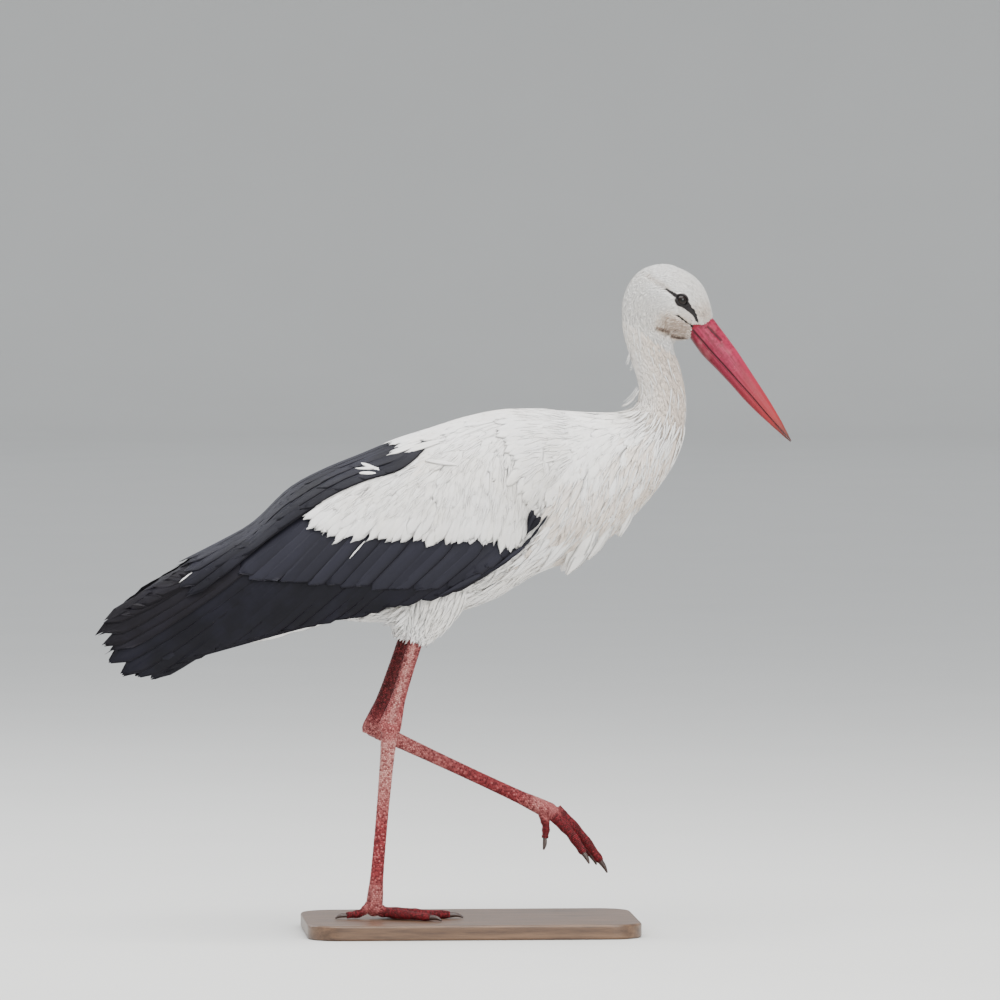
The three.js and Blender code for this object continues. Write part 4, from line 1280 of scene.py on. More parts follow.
def bodyAim(point, ahead, normal):
    # backwards along the body, but steeply down the breast in front of the wings
    steep = 0.9 * smooth(40, 115, point[:, 0]) * smooth(618, 560, point[:, 2])
    sag = 0.25 * smooth(600, 480, point[:, 2])
    down = np.array([-0.42, 0, -0.9])
    return ahead * (1 - steep[:, None]) + down * steep[:, None] + np.array([0, 0, -1.0]) * sag[:, None]


def headAim(point, ahead, normal):
    return ahead


def overBare(point, skinMargin, gapeMargin):
    # true on the face's sides, on or nearly on the bare skin or the gape
    x, y, z = point[..., 0], point[..., 1], point[..., 2]
    bare = (bareDistance(x, z) < skinMargin) | (segmentShare(x, z, *gape)[1] < gapeMargin)
    return bare & (np.abs(y) > 9)


def onFace(u, v):
    point = bodySurface(u, v)
    return ~overBare(point, 0.35, 1.1) & (behindBill(point[..., 0], point[..., 2]) > -0.9)


def trimFaceLengths(u, v, lengths):
    # a feather that would lie over the bare skin is cut short
    best = np.ones(len(u)) * lengths
    for part in (1.0, 0.75, 0.5, 0.3):
        axisU, axisV = walk(bodySurface, 1, u, v, headAim, lengths * part, 3)
        inside = overBare(bodySurface(axisU[:, -1], axisV[:, -1]), 0.0, 0.9)
        best = np.where(inside, np.minimum(best, lengths * part * 0.55), best)
    return best


def creamShare(station, angle):
    # faint cream on the neck and the breast, strongest in front
    turn = np.abs(wrapped(angle))
    return 0.12 + 0.36 * smooth(0.5, 2.3, turn)


def makeHeadCoat():
    random = np.random.default_rng(20)

    def marksAndShadow(u, v):
        # the face's buff markings and the brow's painted shade, broken up from feather to feather, and
        # painted shadow along the jaw's crease
        streaks = random.uniform(0.5, 1.4, (len(u), 1, 1))

        def at(points):
            x, z = points[..., 0], points[..., 2]
            flank = smooth(5, 8, np.abs(points[..., 1]))
            buff = np.clip(faceStainAndBrowShade(x, z) * streaks * flank, 0, 0.72)
            # the jaw's crease adds painted shadow
            return np.clip(buff + np.clip(jawCreaseShadow(x, z), 0, 1) * flank, 0, 1)

        return at

    face = bodyBed(faceLook, 21, (-0.2, 3.6), ([0, 2, 3.6], [1.02, 1.14, 1.34]),
                   ([0, 1, 3.6], [3.2, 4.0, 5.6]), onFace, headAim, trimFaceLengths, marksAndShadow)
    nape = bodyBed(headLook, 23, (3.4, 8.2), ([3.4, 6, 8], [1.45, 1.75, 2.0]),
                   ([3.4, 6, 8], [6.0, 8.5, 12]), onFace, headAim, trimFaceLengths, marksAndShadow)
    growCoat("head_coat", [face, nape], whiteFeather, "white_feathers")


def makeNeckCoat():
    neck = bodyBed(neckLook, 31, (7.4, 13.6), ([7.4, 10, 13.6], [2.0, 2.2, 2.7]),
                   ([7.4, 10, 13.6], [12, 17, 24]), aim=headAim, stain=creamShare)
    hackles = bodyBed(hackleLook, 33, (7.0, 12.5), ([0], [12.0]), ([0], [26.0]), aim=headAim)
    growCoat("neck_coat", [neck, hackles, makeNapeTufts()], whiteFeather, "white_feathers")


def makeNapeTufts():
    # a few loose tufts that stand off the nape and the root of the neck
    random = np.random.default_rng(36)
    starts = (197, 712), (201, 700), (203, 652), (199, 640)
    ends = (189, 684), (194, 676), (188, 634), (184, 629)
    start, end = (np.repeat([[x, 0, z] for x, z in places], 7, axis=0) for places in (starts, ends))
    spread = random.normal(0, 1.0, start.shape) * [1.2, 5.0, 2.5]
    normals = np.tile([-1.0, 0, 0.2], (len(start), 1))
    look = {**plumeLook, "rings": 7, "thick": 0.4}
    widths = random.uniform(2.5, 4.5, len(start))
    end = end + spread * [1.6, 0.8, 1.2]
    return freeVanes(start + spread, end, widths, normals, -1.5, look, 37, sections=(8, 13))


makeHeadCoat()
makeNeckCoat()


# breast, back and belly

ruffLook = {"ring": "soft", "outline": "tuft", "rings": 8, "vary": 0.25, "wide": 0.16,
            "lift": (0.6, 4.4), "thick": 0.42, "unrest": 0.7, "wander": 0.06, "bend": 0.5, "waver": 0.05,
            "fringe": 0.015}
backLook = {"ring": "soft", "outline": "round", "rings": 8, "vary": 0.2, "wide": 0.40,
            "lift": (0.5, 5.0), "thick": 0.34, "unrest": 0.5, "wander": 0.07, "camber": 0.10, "waver": 0.04,
            "fringe": 0.035, "bend": 0.35, "curl": -1.0}
bellyLook = {"ring": "soft", "outline": "lance", "rings": 7, "vary": 0.3, "wide": 0.24,
             "lift": (0.6, 6.6), "thick": 0.55, "unrest": 2.0, "wander": 0.13, "waver": 0.07, "fringe": 0.05,
             "bend": 0.5, "camber": 0.08, "curl": -0.8}
wispLook = {"ring": "fine", "outline": "lance", "rings": 6, "vary": 0.2, "wide": 0.11,
            "lift": (2.6, 5.0), "thick": 0.3, "unrest": 0.6, "wander": 0.14, "bend": 0.4, "curl": -0.7,
            "camber": 0.2, "barbs": 2.0}
tuckLook = {"ring": "fine", "outline": "tuft", "rings": 5, "vary": 0.2, "wide": 0.26,
            "lift": (0.3, 2.4), "thick": 0.3, "unrest": 0.4, "wander": 0.1, "bend": 0.5, "curl": -0.3}


def underWing(u, v):
    # true where the folded wing covers the trunk well inside its edges
    point = bodySurface(u, v, 4.0)
    station, share = onWing(point[..., 0], point[..., 2])
    covered = (station > 0.75) & (station < 9.5) & (share > -0.5) & (share < 0.86)
    return covered & (np.abs(point[..., 1]) > 6) | (covered & (station > 2.5) & (share < 0.5))


def frontness(u, v):
    # 1 on the front of the lower neck and the breast, 0 on the back and the sides behind
    turn = np.abs(wrapped(v))
    return smooth(0.9, 1.5, turn) * smooth(18.4, 17.0, u)


def stopAtWing(u, v, lengths):
    # feathers in front of the wing end at its leading edge: the rest are shortened, or dropped as 0
    best = lengths.copy()
    for part in (1.0, 0.8, 0.62, 0.48, 0.36):
        axisU, axisV = walk(bodySurface, 1, u, v, bodyAim, lengths * part, 4)
        point = bodySurface(axisU[:, -1], axisV[:, -1])
        station, share = onWing(point[:, 0], point[:, 2])
        inside = (station > -0.02) & (share > 0.12) & (share < 1.1) & (station < 6)
        best = np.where(inside, np.minimum(best, lengths * part * 0.8), best)
    return np.where(best < lengths * 0.3, 0, best)


def makeTrunkCoat():
    random = np.random.default_rng(40)
    ruff = bodyBed(ruffLook, 41, (12.6, 18.2), ([12.6, 15, 18], [4.2, 5.2, 6.6]),
                   ([12.6, 15, 18], [36, 56, 58]),
                   lambda u, v: ~underWing(u, v) & (random.random(u.shape) < frontness(u, v)),
                   trim=stopAtWing, stain=lambda u, v: creamShare(u, v) * 0.8)
    growCoat("breast_coat", [ruff, *makePlumes()], whiteFeather, "white_feathers", "breast_plumes")
    back = bodyBed(backLook, 43, (13.2, 19.5), ([13, 16], [6.0, 8.6]), ([13, 15, 17], [24, 38, 44]),
                   lambda u, v: ~underWing(u, v) & (random.random(u.shape) < 1 - 0.9 * frontness(u, v))
                   & (np.abs(wrapped(v)) < 2.1), trim=stopAtWing)
    saddle = bodyBed({**backLook, "lift": (0.8, 4.6)}, 59, (14.6, 16.9), ([0], [6.5]), ([0], [38.0]),
                     turn=(-1.1, 1.1))
    growCoat("back_coat", [back, saddle, makeLooseStrands()], whiteFeather, "white_feathers")
    belly = bodyBed(bellyLook, 45, (17.2, 23.4), ([17, 23], [8.0, 7.0]), ([0], [46.0]),
                    lambda u, v: ~underWing(u, v) & (np.abs(wrapped(v)) > 1.25), trim=stopAtWing)
    growCoat("belly_coat", [belly, makeTuckedDown()], whiteFeather, "white_feathers")


def makeTuckedDown():
    # short flat down on the skin along the wing's front and low edges, where the long feathers stop
    def near(u, v):
        point = bodySurface(u, v, 4.0)
        station, share = onWing(point[..., 0], point[..., 2])
        covered = (station > 1.6) & (station < 9) & (share < 0.75)
        return (station > -1.6) & (station < 9.8) & (share > -0.1) & (share < 1.5) & ~covered

    return bodyBed(tuckLook, 57, (13.5, 23), ([0], [5.2]), ([0], [25.0]), near)


def makeLooseStrands():
    # fine strands lying over the breast's and the back's feathers
    random = np.random.default_rng(47)
    return bodyBed(wispLook, 48, (12.0, 21.5), ([12, 15], [5.5, 8.0]),
                   lambda u: random.uniform(20, 34, len(u)), lambda u, v: ~underWing(u, v), trim=stopAtWing)


def makePlumes():
    # loose plumes hanging from the breast in locks: quill and tip in side view, how far out the tip lies,
    # how many vanes, how wide, and how far they fan out
    locks = [((147, 488), (114, 431.5), 38, 9, 15, 4.5), ((143, 520), (112, 440), 36, 10, 11, 7),
             ((137, 500), (82, 437), 44, 8, 9, 4), ((124, 500), (86, 443), 48, 8, 8, 6),
             ((170, 500), (141, 448), 24, 8, 9, 4), ((168, 530), (146, 455), 26, 12, 10, 8),
             ((200, 540), (178, 476), 16, 8, 8, 5), ((150, 520), (113, 436), 10, 12, 10, 8)]
    random = np.random.default_rng(50)
    beds = []
    for index, (quill, tip, tipY, count, wide, fan) in enumerate(locks):
        for side in (1, -1):
            spread = random.uniform(-1, 1, (count, 1)) * [0.6, 1.2, 0.4] * fan
            spread = spread + random.normal(0, 1.5, (count, 3))
            start = np.array([quill[0], 0, quill[1]]) + spread
            start[:, 1] = side * (bodyHalf(start[:, 0], start[:, 2]) + 3 - np.abs(spread[:, 1]) * 0.3)
            end = np.array([tip[0], side * tipY, tip[1]]) + spread * [0.7, 0.55, 0.4]
            end = end + np.abs(random.normal(0, fan * 0.6, (count, 1))) * [0.25, 0, 1]
            normals = np.stack([0.5 + 0 * spread[:, 0], start[:, 1] / 30, -0.2 + 0 * spread[:, 0]], -1)
            widths = wide * random.uniform(0.8, 1.15, count)
            beds.append(freeVanes(start, end, widths, normals, 5.0, plumeLook, 51 + 2 * index + side))
    return beds


makeTrunkCoat()


# thighs

thighLook = {**bellyLook, "rings": 6, "lift": (0.5, 5.0), "thick": 0.5, "unrest": 2.5, "bend": 0.6,
             "camber": 0.06, "curl": 0.0}



def makeThighCoats():
    beds = []
    for index, (leg, _) in enumerate(feet):
        # the coat's surface runs on from the thigh over the top of the shank
        rows = limbRows(leg, "thigh")[:4] + [between(leg["knee"], leg["ankle"], 0.08) + [14, 12.5],
                                             between(leg["knee"], leg["ankle"], 0.3) + [13.2, 11.8]]
        surface, reach = limbSurface(rows, 5.0), (0.01, 0.002)
        roots = scatter(surface, 1, (0.8, 3.45), (0, 1), ([1, 3, 3.4], [6.5, 4.4, 3.4]), 61 + index,
                        lambda u, v: surface(u, v)[..., 2] < 452, reach)
        lengths = np.interp(roots[0], [1, 2, 3, 3.4], [35, 26, 12, 7.5])
        aim = lambda point, ahead, normal: ahead + np.array([-0.15, 0, -0.1])
        beds.append(plantBed(surface, 1, roots, aim, thighLook, lengths, 63 + index, limbUnwrap, reach))
        beds.append(makeVentTufts(leg["side"]))
    growCoat("thigh_coats", beds, whiteFeather, "white_feathers")


def makeVentTufts(side):
    # wispy tufts behind the thigh, pointing back and down
    random = np.random.default_rng(66)
    count = 34
    share = random.random((count, 1))
    start = np.array([-74, 0, 402]) + share * [12, 0, -26] + random.normal(0, 1.5, (count, 3))
    start[:, 1] = side * random.uniform(22, 47, count)
    end = start + np.array([-30, 0, -17]) * random.uniform(0.7, 1.15, (count, 1)) + share * [12, 0, -8]
    normals = np.stack([-0.3 + 0 * share[:, 0], side + 0 * share[:, 0], -0.2 + 0 * share[:, 0]], -1)
    look = {**plumeLook, "rings": 7, "thick": 0.5}
    return freeVanes(start, end, random.uniform(4, 7, count), normals, 2.0, look, 67)


makeThighCoats()


# the folded wings

covertLook = {"ring": "soft", "outline": "round", "rings": 7, "vary": 0.18, "wide": 0.50,
              "lift": (0.2, 3.4), "thick": 0.3, "unrest": 0.4, "wander": 0.08, "waver": 0.03, "fringe": 0.04,
              "bend": 0.35, "camber": 0.08, "curl": -0.8}
strandLook = {**wispLook, "vary": 0.3, "wide": 0.13, "lift": (1.2, 3.8), "thick": 0.25, "unrest": 0.4,
              "wander": 0.16, "bend": 0.35, "curl": -0.6}
edgeCovertLook = {**covertLook, "rings": 9, "lift": (0.5, 4.2), "fringe": 0.06}
shoulderLook = {**covertLook, "wide": 0.36, "lift": (1.2, 4.6), "unrest": 0.2}
quillLook = {"ring": "quill", "outline": "blunt", "fringe": 0.008, "waver": 0.008}
# the greater coverts' high tones give them the most painted sheen
greaterLook = {**quillLook, "rings": 10, "lift": (-1.6, 1.2), "thick": 0.5, "shaft": 0.5, "tilt": 1.5,
               "bend": 0.8, "camber": 0.03, "tones": (0.5, 1)}
flightLook = {**quillLook, "rings": 15, "lift": (-2.6, 0.2), "thick": 0.55, "shaft": 0.6, "tilt": 1.6,
              "bend": 0.6, "camber": 0.02, "tones": (0, 0.15)}
scapularLook = {**quillLook, "rings": 10, "lift": (-0.4, 2.8), "thick": 0.5, "shaft": 0.4, "tilt": 1.2,
                "bend": 0.5, "curl": -0.8, "fringe": 0.012, "waver": 0.01, "camber": 0.04,
                "tones": (0, 0.35)}

# side-view lines that the tips of each row follow, front to rear, with the feathers' slope and length
greaterTips = through([[29, 456], [-5, 435], [-42, 421], [-108, 420], [-186, 424], [-250, 428], [-282, 436]])
greaterLay = {"slope": [40, 38, 40, 46, 49, 46, 40], "length": [42, 66, 90, 104, 108, 108, 112]}
flightTips = through([[-30, 417], [-120, 392], [-210, 371], [-296, 350], [-350, 325], [-383, 308],
                      [-404, 312], [-427, 315], [-431, 328]])
flightLay = {"slope": [30, 38, 43, 43, 42, 41, 39, 37, 35.5],
             "length": [90, 135, 180, 215, 240, 258, 268, 280, 285]}
tertialTips = through([[-428, 340], [-437, 361], [-430, 380], [-409, 397], [-382, 417], [-345, 444]])
tertialLay = {"slope": [34.5, 33, 32, 31, 30, 29], "length": [268, 255, 240, 225, 205, 175]}


def wingHeading(point, side):
    # lie of the white coverts: down at the front, turning to the rear towards the tail and near the ridge
    station, share = onWing(point[..., 0], point[..., 2])
    rear = smooth(0.2, 6.2, station)
    ridge = smooth(0.42, 0.05, share)
    down = np.stack([-0.10 - 0.62 * rear, 0 * rear, -0.99 + 0.30 * rear], -1)
    back = np.stack([-0.92 + 0 * rear, 0 * rear, -0.40 + 0 * rear], -1)
    heading = down * (1 - ridge[..., None]) + back * ridge[..., None]
    return heading + np.array([0, side * 0.12, 0])


def wingPlace(x, z):
    station, share = onWing(x, z)
    return station, wingAngle(share)


def sheetCells(count, columns):
    # one cell of a square sheet for each feather: the cells' middles and a patch's size
    index = np.arange(count)
    rows = math.ceil(count / columns)
    middles = np.stack([(index // columns + 0.5) / rows, (index % columns + 0.5) / columns], -1)
    return middles, 0.8 / max(rows, columns)


def layQuills(side, roots, tips, widths, look, seed, bow=0.0, sink=0.0, cells=None, stain=0.0):
    # feathers between side-view points, each axis bowed and set down on the wing's surface
    random = np.random.default_rng(seed)
    t = np.linspace(0, 1, look["rings"])[None, :, None]
    run = tips - roots
    aside = np.stack([-run[:, 1], run[:, 0]], -1)[:, None]
    path = roots[:, None] + run[:, None] * t + aside * np.reshape(bow, (-1, 1, 1)) * 4 * t * (1 - t)
    axisU, axisV = wingPlace(path[..., 0], path[..., 1])
    lengths = np.linalg.norm(run, axis=1)
    axisV = np.maximum(axisV, 0.03 + random.uniform(0, 0.02, (len(roots), 1)))
    unwrap = wingUnwrap
    if cells is not None:
        unwrap, look = lambda u, v: cells[0], {**look, "patch": cells[1]}
    surface = wingSurface(side, sink)
    return vaneBed(surface, side, axisU, axisV, lengths, widths, look, seed, unwrap, stain, side)


def rowOf(tipLine, lay, count, seed, loose=3.0):
    # evenly spaced tips along a line with their roots back up along the lie
    random = np.random.default_rng(seed)
    last = len(lay["slope"]) - 1
    fine = tipLine(np.linspace(0, last, 300))
    far = pathLengths(fine)
    station = np.interp(np.linspace(0, far[-1], count), far, np.linspace(0, last, 300))
    slope = np.radians(np.interp(station, range(last + 1), lay["slope"]) + random.normal(0, 0.6, count))
    length = np.interp(station, range(last + 1), lay["length"])
    tips = tipLine(station) + random.normal(0, loose, (count, 2)) * [1, 0.4]
    return tips + np.stack([np.cos(slope), np.sin(slope)], -1) * length[:, None], tips


def belowScapulars(station, angle):
    # true where a white feather's tip leaves the black shoulder feathers clear
    prong = 3.9 - 0.6 * smooth(0.3, 0.6, angle)
    return (station < prong) | (wingShare(angle) > scapularEdge(station)[..., 0] + 0.035)


def creamRows(points):
    # faint slanting cream rows on the hindmost upper coverts
    x, z = points[..., 0], points[..., 2]
    return 0.2 * np.exp(-((x + 70) / 18)**2 - ((z - 557) / 17)**2) * (0.5 + 0.5 * np.sin(0.9 * x + 0.7 * z))


def makeCoverts(side):
    random = np.random.default_rng(70 + side)
    surface = wingSurface(side)

    def keep(u, v):
        share = wingShare(v)
        return (share < covertEdge(u)[..., 0] - 0.06) & (share > scapularEdge(u)[..., 0] - 0.05)

    def bed(look, seeds, spacing, tryLengths, rings, margin, last, lengths=None, **more):
        # feathers whose tips stay on the white part: the edge less the margin, and the last station
        roots = scatter(surface, side, (-0.1, 6.9), (0.02, wingTurn), spacing, seeds[0] + side, keep)
        tryLengths = np.interp(roots[0], *tryLengths)
        tipU, tipV = [axis[:, -1] for axis in walk(surface, side, *roots, aim, tryLengths, rings)]
        inside = wingShare(np.clip(tipV, 0, 3)) < covertEdge(tipU)[..., 0] - margin
        inside &= (tipU < last) & belowScapulars(tipU, tipV)
        roots, lengths = [place[inside] for place in roots], lengths or tryLengths[inside]
        return plantBed(surface, side, roots, aim, look, lengths, seeds[1] + side, wingUnwrap, **more)

    aim = lambda point, ahead, normal: wingHeading(point, side)
    white = bed(covertLook, (72, 74), ([0, 2, 6.5], [7.6, 9, 10]), ([0, 1.5, 6.5], [24, 31, 38]), 4, 0.0,
                7.1, side=side, stain=creamRows)
    strands = bed(strandLook, (78, 79), ([0], [7.4]), ([0], [26.0]), 3, 0.01, 7.0, 24.0)
    # the last row, whose tips make the scalloped lower edge
    count = 40
    stations = np.linspace(0.25, 6.75, count) + random.normal(0, 0.03, count)
    row = wingCurve(stations)
    share = covertEdge(stations) + random.normal(0, 0.02, (count, 1))
    tips = row[:, 0:2] + (row[:, 2:4] - row[:, 0:2]) * share
    heading = wingHeading(np.stack([tips[:, 0], 0 * tips[:, 0], tips[:, 1]], -1), side)[:, [0, 2]]
    roots = tips - unit(heading) * random.uniform(34, 44, (count, 1))
    fringe = layQuills(side, roots, tips, random.uniform(11, 18, count), edgeCovertLook, 76 + side)
    spotRoots = np.array([[-110, 559], [-112, 562], [-114, 556], [-117, 561.0]])
    spotTips = np.array([[-134, 568], [-131, 562], [-136, 556], [-139, 561.0]])
    spot = layQuills(side, spotRoots, spotTips, np.array([5, 4.5, 5, 4.0]),
                     {**edgeCovertLook, "lift": (2.4, 3.6)}, 77 + side, sink=-1.4)
    return [white, fringe, strands, *makeShoulder(side), spot, makeTongue(side)]


def makeTongue(side):
    # white feathers that cross the black shoulder's front corner, and loose white bits caught on the
    # black: each one's root, tip and width
    vanes = [((-34, 596), (-82, 584), 9), ((-40, 593), (-79, 581.5), 8), ((-62, 593), (-96, 581), 8),
             ((-64, 590), (-98, 578), 7), ((-131, 476.5), (-148, 457), 1.8),
             ((-334, 435), (-349, 423.5), 1.8), ((-21, 567), (-56, 572), 6)]
    roots, tips, widths = (np.array(column) for column in zip(*vanes))
    look = {**edgeCovertLook, "lift": (2.6, 3.6)}
    return layQuills(side, roots, tips, widths, look, 68 + side, sink=-1.0)


def makeShoulder(side):
    # feathers that run from the body over the wing's front edge, on a surface that leaves one for the other
    wing = wingSurface(side)

    def surface(station, angle):
        point = wing(station, angle)
        near = smooth(-1.15, 0.3, station)
        half = bodyHalf(point[..., 0], point[..., 2]) * (1 - near) + np.abs(point[..., 1]) * near
        return np.stack([point[..., 0], side * half, point[..., 2]], -1)

    def keep(u, v):
        return (u < 0.25 - 0.6 * smooth(1.6, 1.95, v)) & (surface(u, v)[..., 2] > 528 - 26 * u)

    roots = scatter(surface, side, (-1.3, 0.25), (0.08, 2.3), ([0], [5.8]), 100 + side, keep)
    back, down = np.array([-0.92, 0, -0.3]), np.array([-0.48, 0, -0.88])
    aim = lambda point, ahead, normal: back + (down - back) * smooth(600, 515, point[:, 2:3])
    bed = plantBed(surface, side, roots, aim, shoulderLook, 36.0, 102 + side, wingUnwrap, side=side)
    loose = scatter(surface, side, (-1.6, 0.2), (0.08, 2.0), ([0], [6.6]), 106 + side,
                    lambda u, v: surface(u, v)[..., 2] > 540)
    raised = {**strandLook, "lift": (3.0, 5.0)}
    return [bed, plantBed(surface, side, loose, aim, raised, 24.0, 108 + side, wingUnwrap)]


def makeMantle():
    # white feathers down the middle of the back, over the seam between the wings
    surface = wingSurface(1)
    roots = scatter(surface, 1, (0.0, 3.3), (-0.4, 0.4), ([0], [8.0]), 104)
    aim = lambda point, ahead, normal: np.array([-0.95, 0, -0.25]) + 0 * point
    return plantBed(surface, 1, roots, aim, shoulderLook, 40.0, 105, wingUnwrap)


def makeBlackWing(side):
    random = np.random.default_rng(80 + side)
    counts = {"flight": 22, "tertial": 12, "greater": 19, "scapular": 40, "wrist": 9, "primary": 5}
    places, patch = sheetCells(sum(counts.values()), 10)
    stops = dict(zip(counts, np.cumsum(list(counts.values()))))
    cells = {row: (places[stops[row] - count:stops[row]], patch) for row, count in counts.items()}
    roots, tips = rowOf(flightTips, flightLay, counts["flight"], 82 + side)
    widths = np.linspace(22, 29, counts["flight"])
    flight = layQuills(side, roots, tips, widths, flightLook, 84 + side, bow=0.012, sink=0.6,
                       cells=cells["flight"])
    roots, tips = rowOf(tertialTips, tertialLay, counts["tertial"], 86 + side, 2.5)
    widths = random.uniform(22, 27, counts["tertial"])
    frayed = {**flightLook, "fringe": 0.02, "waver": 0.02}
    tertial = layQuills(side, roots, tips, widths, frayed, 88 + side, bow=0.015, sink=-0.6,
                        cells=cells["tertial"], stain=0.03)
    roots, tips = rowOf(greaterTips, greaterLay, counts["greater"], 90 + side)
    widths = np.interp(np.arange(counts["greater"]), [0, 5, 18], [17, 24, 28])
    greater = layQuills(side, roots, tips, widths, greaterLook, 92 + side, bow=0.01, sink=-0.2,
                        cells=cells["greater"])
    return [flight, tertial, greater, makeScapulars(side, cells["scapular"]),
            makeWristEdge(side, cells["wrist"]), makePrimaries(side, cells["primary"])]


def makeScapulars(side, cells):
    # black shoulder feathers in ranks between the back's ridge and the white coverts, all lying to the rear
    random = np.random.default_rng(94 + side)
    ranks = [(0.05, 4.0), (0.27, 3.9), (0.5, 3.75), (0.73, 3.4), (0.95, 3.0)]
    part, first = np.repeat(ranks, 8, axis=0).T
    along = np.tile(np.linspace(1, 0, 8), len(ranks))
    count = len(part)
    station = first + (6.7 - first) * along + random.normal(0, 0.05, count)
    length = np.interp(station, [3, 5, 6.7], [70, 105, 165]) * random.uniform(0.93, 1.07, count)
    t = np.linspace(0, 1, scapularLook["rings"])
    axisU = station[:, None] + length[:, None] / 45 * t
    edge = wingAngle(scapularEdge(axisU)[..., 0])
    axisV = edge * (part[:, None] + random.normal(0, 0.012, (count, 1))) + 0.02
    return vaneBed(wingSurface(side, -1.4), side, axisU, axisV, length, random.uniform(19, 24, count),
                   {**scapularLook, "patch": cells[1]}, 96 + side, lambda u, v: cells[0], side=side)


def makeWristEdge(side, cells):
    # thin black vanes along the wing's leading edge, and a dark three-cornered patch over the wrist
    line = through([[87, 504.5], [77, 490], [67, 477], [58, 465.5], [38, 450], [-3, 429], [-36, 412]])
    station = np.arange(6) * 0.95
    roots = np.concatenate([line(station), [[69, 511], [78.5, 503], [72, 505]]])
    tips = np.concatenate([line(station + 1.5), [[63, 482], [63, 482.5], [62, 481]]])
    widths = np.array([2.4, 2.8, 3.6, 5, 6.4, 7, 6.5, 6, 8])

    def height(place):
        station, share = onWing(place[:, 0], place[:, 1])
        wing = np.abs(wingSurface(side)(station, wingAngle(share))[:, 1])
        return side * (np.maximum(bodyHalf(place[:, 0], place[:, 1]) + 2.0, wing) + 4.6)

    start = np.stack([roots[:, 0], height(roots), roots[:, 1]], -1)
    end = np.stack([tips[:, 0], height(tips), tips[:, 1]], -1)
    look = {"ring": "soft", "outline": "lance", "rings": 7, "thick": 0.6}
    normals = np.tile([0.25, side * 1.0, 0.0], (len(roots), 1))
    return freeVanes(start, end, widths * 1.25, normals, 0.6, look, 98 + side, cells)


def makePrimaries(side, cells):
    # the folded hand: long vanes lying under the wing's low edge
    k = np.linspace(0, 1, 5)[:, None]
    start = np.concatenate([-20 - 45 * k, side * (67 - 3 * k), 427 - 6 * k], 1)
    end = np.concatenate([-318 - 52 * k, side * (26 - 4 * k), 347 - 15 * k], 1)
    normals = np.tile([0.12, side * 1.0, -0.25], (5, 1))
    look = {"ring": "quill", "outline": "blunt", "rings": 14, "thick": 0.7, "shaft": 0.8}
    return freeVanes(start, end, np.linspace(17, 21, 5), normals, 3.0, look, 110 + side, cells)


for side, name in ((1, "left"), (-1, "right")):
    growCoat(f"wing_{name}_white", makeCoverts(side), whiteFeather, "white_feathers", f"wing_{name}_coverts")
    growCoat(f"wing_{name}_black", makeBlackWing(side), blackFeather, "black_feathers",
             f"wing_{name}_scapulars", f"wing_{name}_secondaries", f"wing_{name}_primaries")


growCoat("mantle_coat", [makeMantle()], whiteFeather, "white_feathers")


# tail

def makeTail():
    # a fan of twelve stiff white feathers, and fluff under its root
    share = np.linspace(-1, 1, 12)
    start = np.stack([-170 + 0 * share, 12 * share, 428 - 10 * share**2], -1)
    end = np.stack([-345 + 18 * np.abs(share), 24 * share, 352 - 8 * share**2], -1)
    normals = np.stack([0 * share - 0.35, 0.35 * share, 0.9 + 0 * share], -1)
    look = {"ring": "quill", "outline": "blunt", "rings": 10, "thick": 0.8, "shaft": 0.7}
    fan = freeVanes(start, end, np.full(12, 26.0), normals, -2.0, look, 120)
    random = np.random.default_rng(121)
    count = 70
    far, turn = random.random(count), random.uniform(-1, 1, count)
    start = np.stack([-150 - 75 * far, 17 * turn, 398 - 22 * far - 8 * np.abs(turn)], -1)
    run = np.stack([-52 + 0 * far, 3 * turn, -19 - 5 * (1 - far)], -1)
    end = start + run * random.uniform(0.8, 1.2, (count, 1))
    normals = np.stack([-0.3 + 0 * far, 0.8 * turn, -0.9 + 0 * far], -1)
    look, widths = {**plumeLook, "rings": 6}, random.uniform(12, 17, count)
    return [fan, freeVanes(start, end, widths, normals, 3.0, look, 122)]


growCoat("tail_coat", makeTail(), whiteFeather, "white_feathers", "tail")


# board

boardLook = {"length": 400, "width": 240, "height": 18, "corner": 40, "edge": 3.0, "segments": 20}


def makeBoard():
    # a rounded rectangle carried up an edge profile with rounded rims
    look = boardLook
    quarter = np.linspace(0, math.pi / 2, look["segments"])
    edge = look["edge"]
    bend = np.linspace(0, math.pi / 2, 7)
    profile = [(12.0, 0.0)] + [(edge - edge * math.sin(a), edge - edge * math.cos(a)) for a in bend]
    profile += [(edge - edge * math.cos(a), look["height"] - edge + edge * math.sin(a)) for a in bend]
    profile += [(12.0, look["height"])]
    rings = []
    for inset, height in profile:
        radius = look["corner"] - inset
        corners = []
        for index, (signX, signY) in enumerate(((1, 1), (-1, 1), (-1, -1), (1, -1))):
            angle = quarter + index * math.pi / 2
            x = signX * (look["length"] / 2 - look["corner"]) + radius * np.cos(angle)
            y = signY * (look["width"] / 2 - look["corner"]) + radius * np.sin(angle)
            corners.append(np.stack([x, y, np.full(x.shape, height)], -1))
        rings.append(np.concatenate(corners))
    return tubePiece("display_board", np.stack(rings)[None], smoothShaded=False)


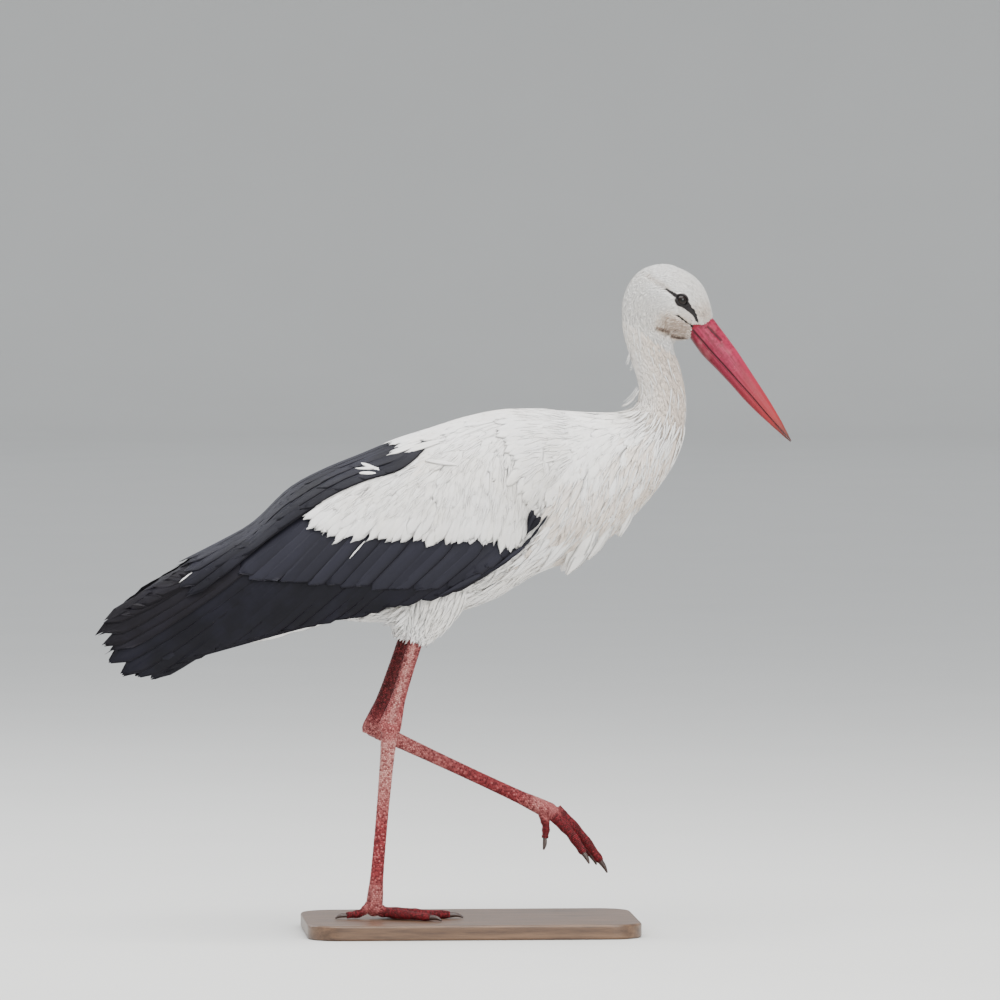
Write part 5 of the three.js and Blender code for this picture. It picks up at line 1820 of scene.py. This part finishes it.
def woodMaterial():
    material, tree, shader = newMaterial("base_wood", 0.4, Specular_IOR_Level=0.45, Coat_Weight=0.25,
                                         Coat_Roughness=0.25)
    grain = noiseAt(tree, 9.0, 8.0, (1.2, 14.0, 14.0), 0.62)
    fine = noiseAt(tree, 60.0, 5.0, (0.5, 16.0, 16.0), 0.7)
    shade = paint(
        tree, colour(0.060, 0.030, 0.016), (remap(tree, grain, 0.35, 0.65), colour(0.150, 0.082, 0.044)),
        (remap(tree, fine, 0.50, 0.75, 0.0, 0.6), colour(0.028, 0.014, 0.008)))
    rough = wander(tree, 0.30, fine, 0.25)
    finish(tree, shader, shade, calc(tree, "ADD", fine, grain), 0.15 * mm, 0.5, rough)
    return material


board = makeBoard()
dress(board, woodMaterial(), "base_wood", "stand_base")
print("board ready")


# floor, light and camera

room = {"radius": 18.0, "bend": 2.0, "wall": 4.0, "segments": 128}


def makeRoom():
    # a round floor that bends up into a low wall all round
    turn = np.linspace(0, math.pi / 2, 16)
    inner = room["radius"] - room["bend"]
    far = np.concatenate([[0.01, 3.0, inner * 0.6], inner + room["bend"] * np.sin(turn), [room["radius"]]])
    height = np.concatenate([[0, 0, 0], room["bend"] * (1 - np.cos(turn)), [room["wall"]]])
    angle = np.arange(room["segments"]) / room["segments"] * 2 * math.pi
    points = np.stack([far[:, None] * np.cos(angle), far[:, None] * np.sin(angle),
                       height[:, None] + 0 * angle], -1).reshape(-1, 3)
    quads = gridFaces(len(far), room["segments"])[:, ::-1]
    mesh = bpy.data.meshes.new("room")
    mesh.from_pydata(points.tolist(), [], quads.tolist())
    mesh.polygons.foreach_set("use_smooth", np.ones(len(quads), bool))
    backdrop = bpy.data.objects.new("room", mesh)
    bpy.context.scene.collection.objects.link(backdrop)
    material, tree, shader = newMaterial("room_paper", 0.9, Specular_IOR_Level=0.1)
    shade = paint(tree, colour(0.60, 0.60, 0.585), (noiseAt(tree, 3.0), colour(0.63, 0.63, 0.615)))
    tree.links.new(shade, shader.inputs["Base Color"])
    mesh.materials.append(material)


def areaLight(name, place, target, size, power, tint):
    light = bpy.data.lights.new(name, "AREA")
    light.shape, light.size, light.size_y = "RECTANGLE", size[0], size[1]
    light.energy, light.color = power, tint
    lamp = bpy.data.objects.new(name, light)
    lamp.location = place
    lamp.rotation_euler = (Vector(target) - Vector(place)).to_track_quat("-Z", "Y").to_euler()
    bpy.context.scene.collection.objects.link(lamp)


def lightRoom():
    heart = (0, 0, 0.45)
    areaLight("sky_panel", (-0.2, -0.6, 3.2), heart, (3.4, 3.0), 218, (1.0, 0.99, 0.97))
    areaLight("front_panel", (1.6, -3.6, 1.7), heart, (3.0, 2.4), 160, (1.0, 0.98, 0.95))
    areaLight("back_panel", (-2.6, 2.2, 2.2), heart, (2.0, 2.0), 62, (0.94, 0.97, 1.0))
    world = bpy.data.worlds.new("studio")
    bpy.context.scene.world = world
    world.use_nodes = True
    sky = world.node_tree.nodes["Background"]
    sky.inputs["Color"].default_value = colour(0.93, 0.96, 1.0)
    sky.inputs["Strength"].default_value = 1.0


def placeCamera():
    view = {"aim": (0.036, 0.0, 0.5196), "distance": 12.0, "azimuth": -4.0, "elevation": 2.5, "lens": 360}
    camera = bpy.data.cameras.new("camera")
    camera.lens, camera.sensor_width = view["lens"], 36
    camera.clip_start, camera.clip_end = 0.5, 60
    azimuth, elevation = math.radians(view["azimuth"]), math.radians(view["elevation"])
    away = Vector((math.sin(azimuth) * math.cos(elevation), -math.cos(azimuth) * math.cos(elevation),
                   math.sin(elevation)))
    holder = bpy.data.objects.new("camera", camera)
    holder.location = Vector(view["aim"]) + away * view["distance"]
    holder.rotation_euler = (-away).to_track_quat("-Z", "Y").to_euler()
    bpy.context.scene.collection.objects.link(holder)
    bpy.context.scene.camera = holder


makeRoom()
lightRoom()
placeCamera()
print("scene ready")
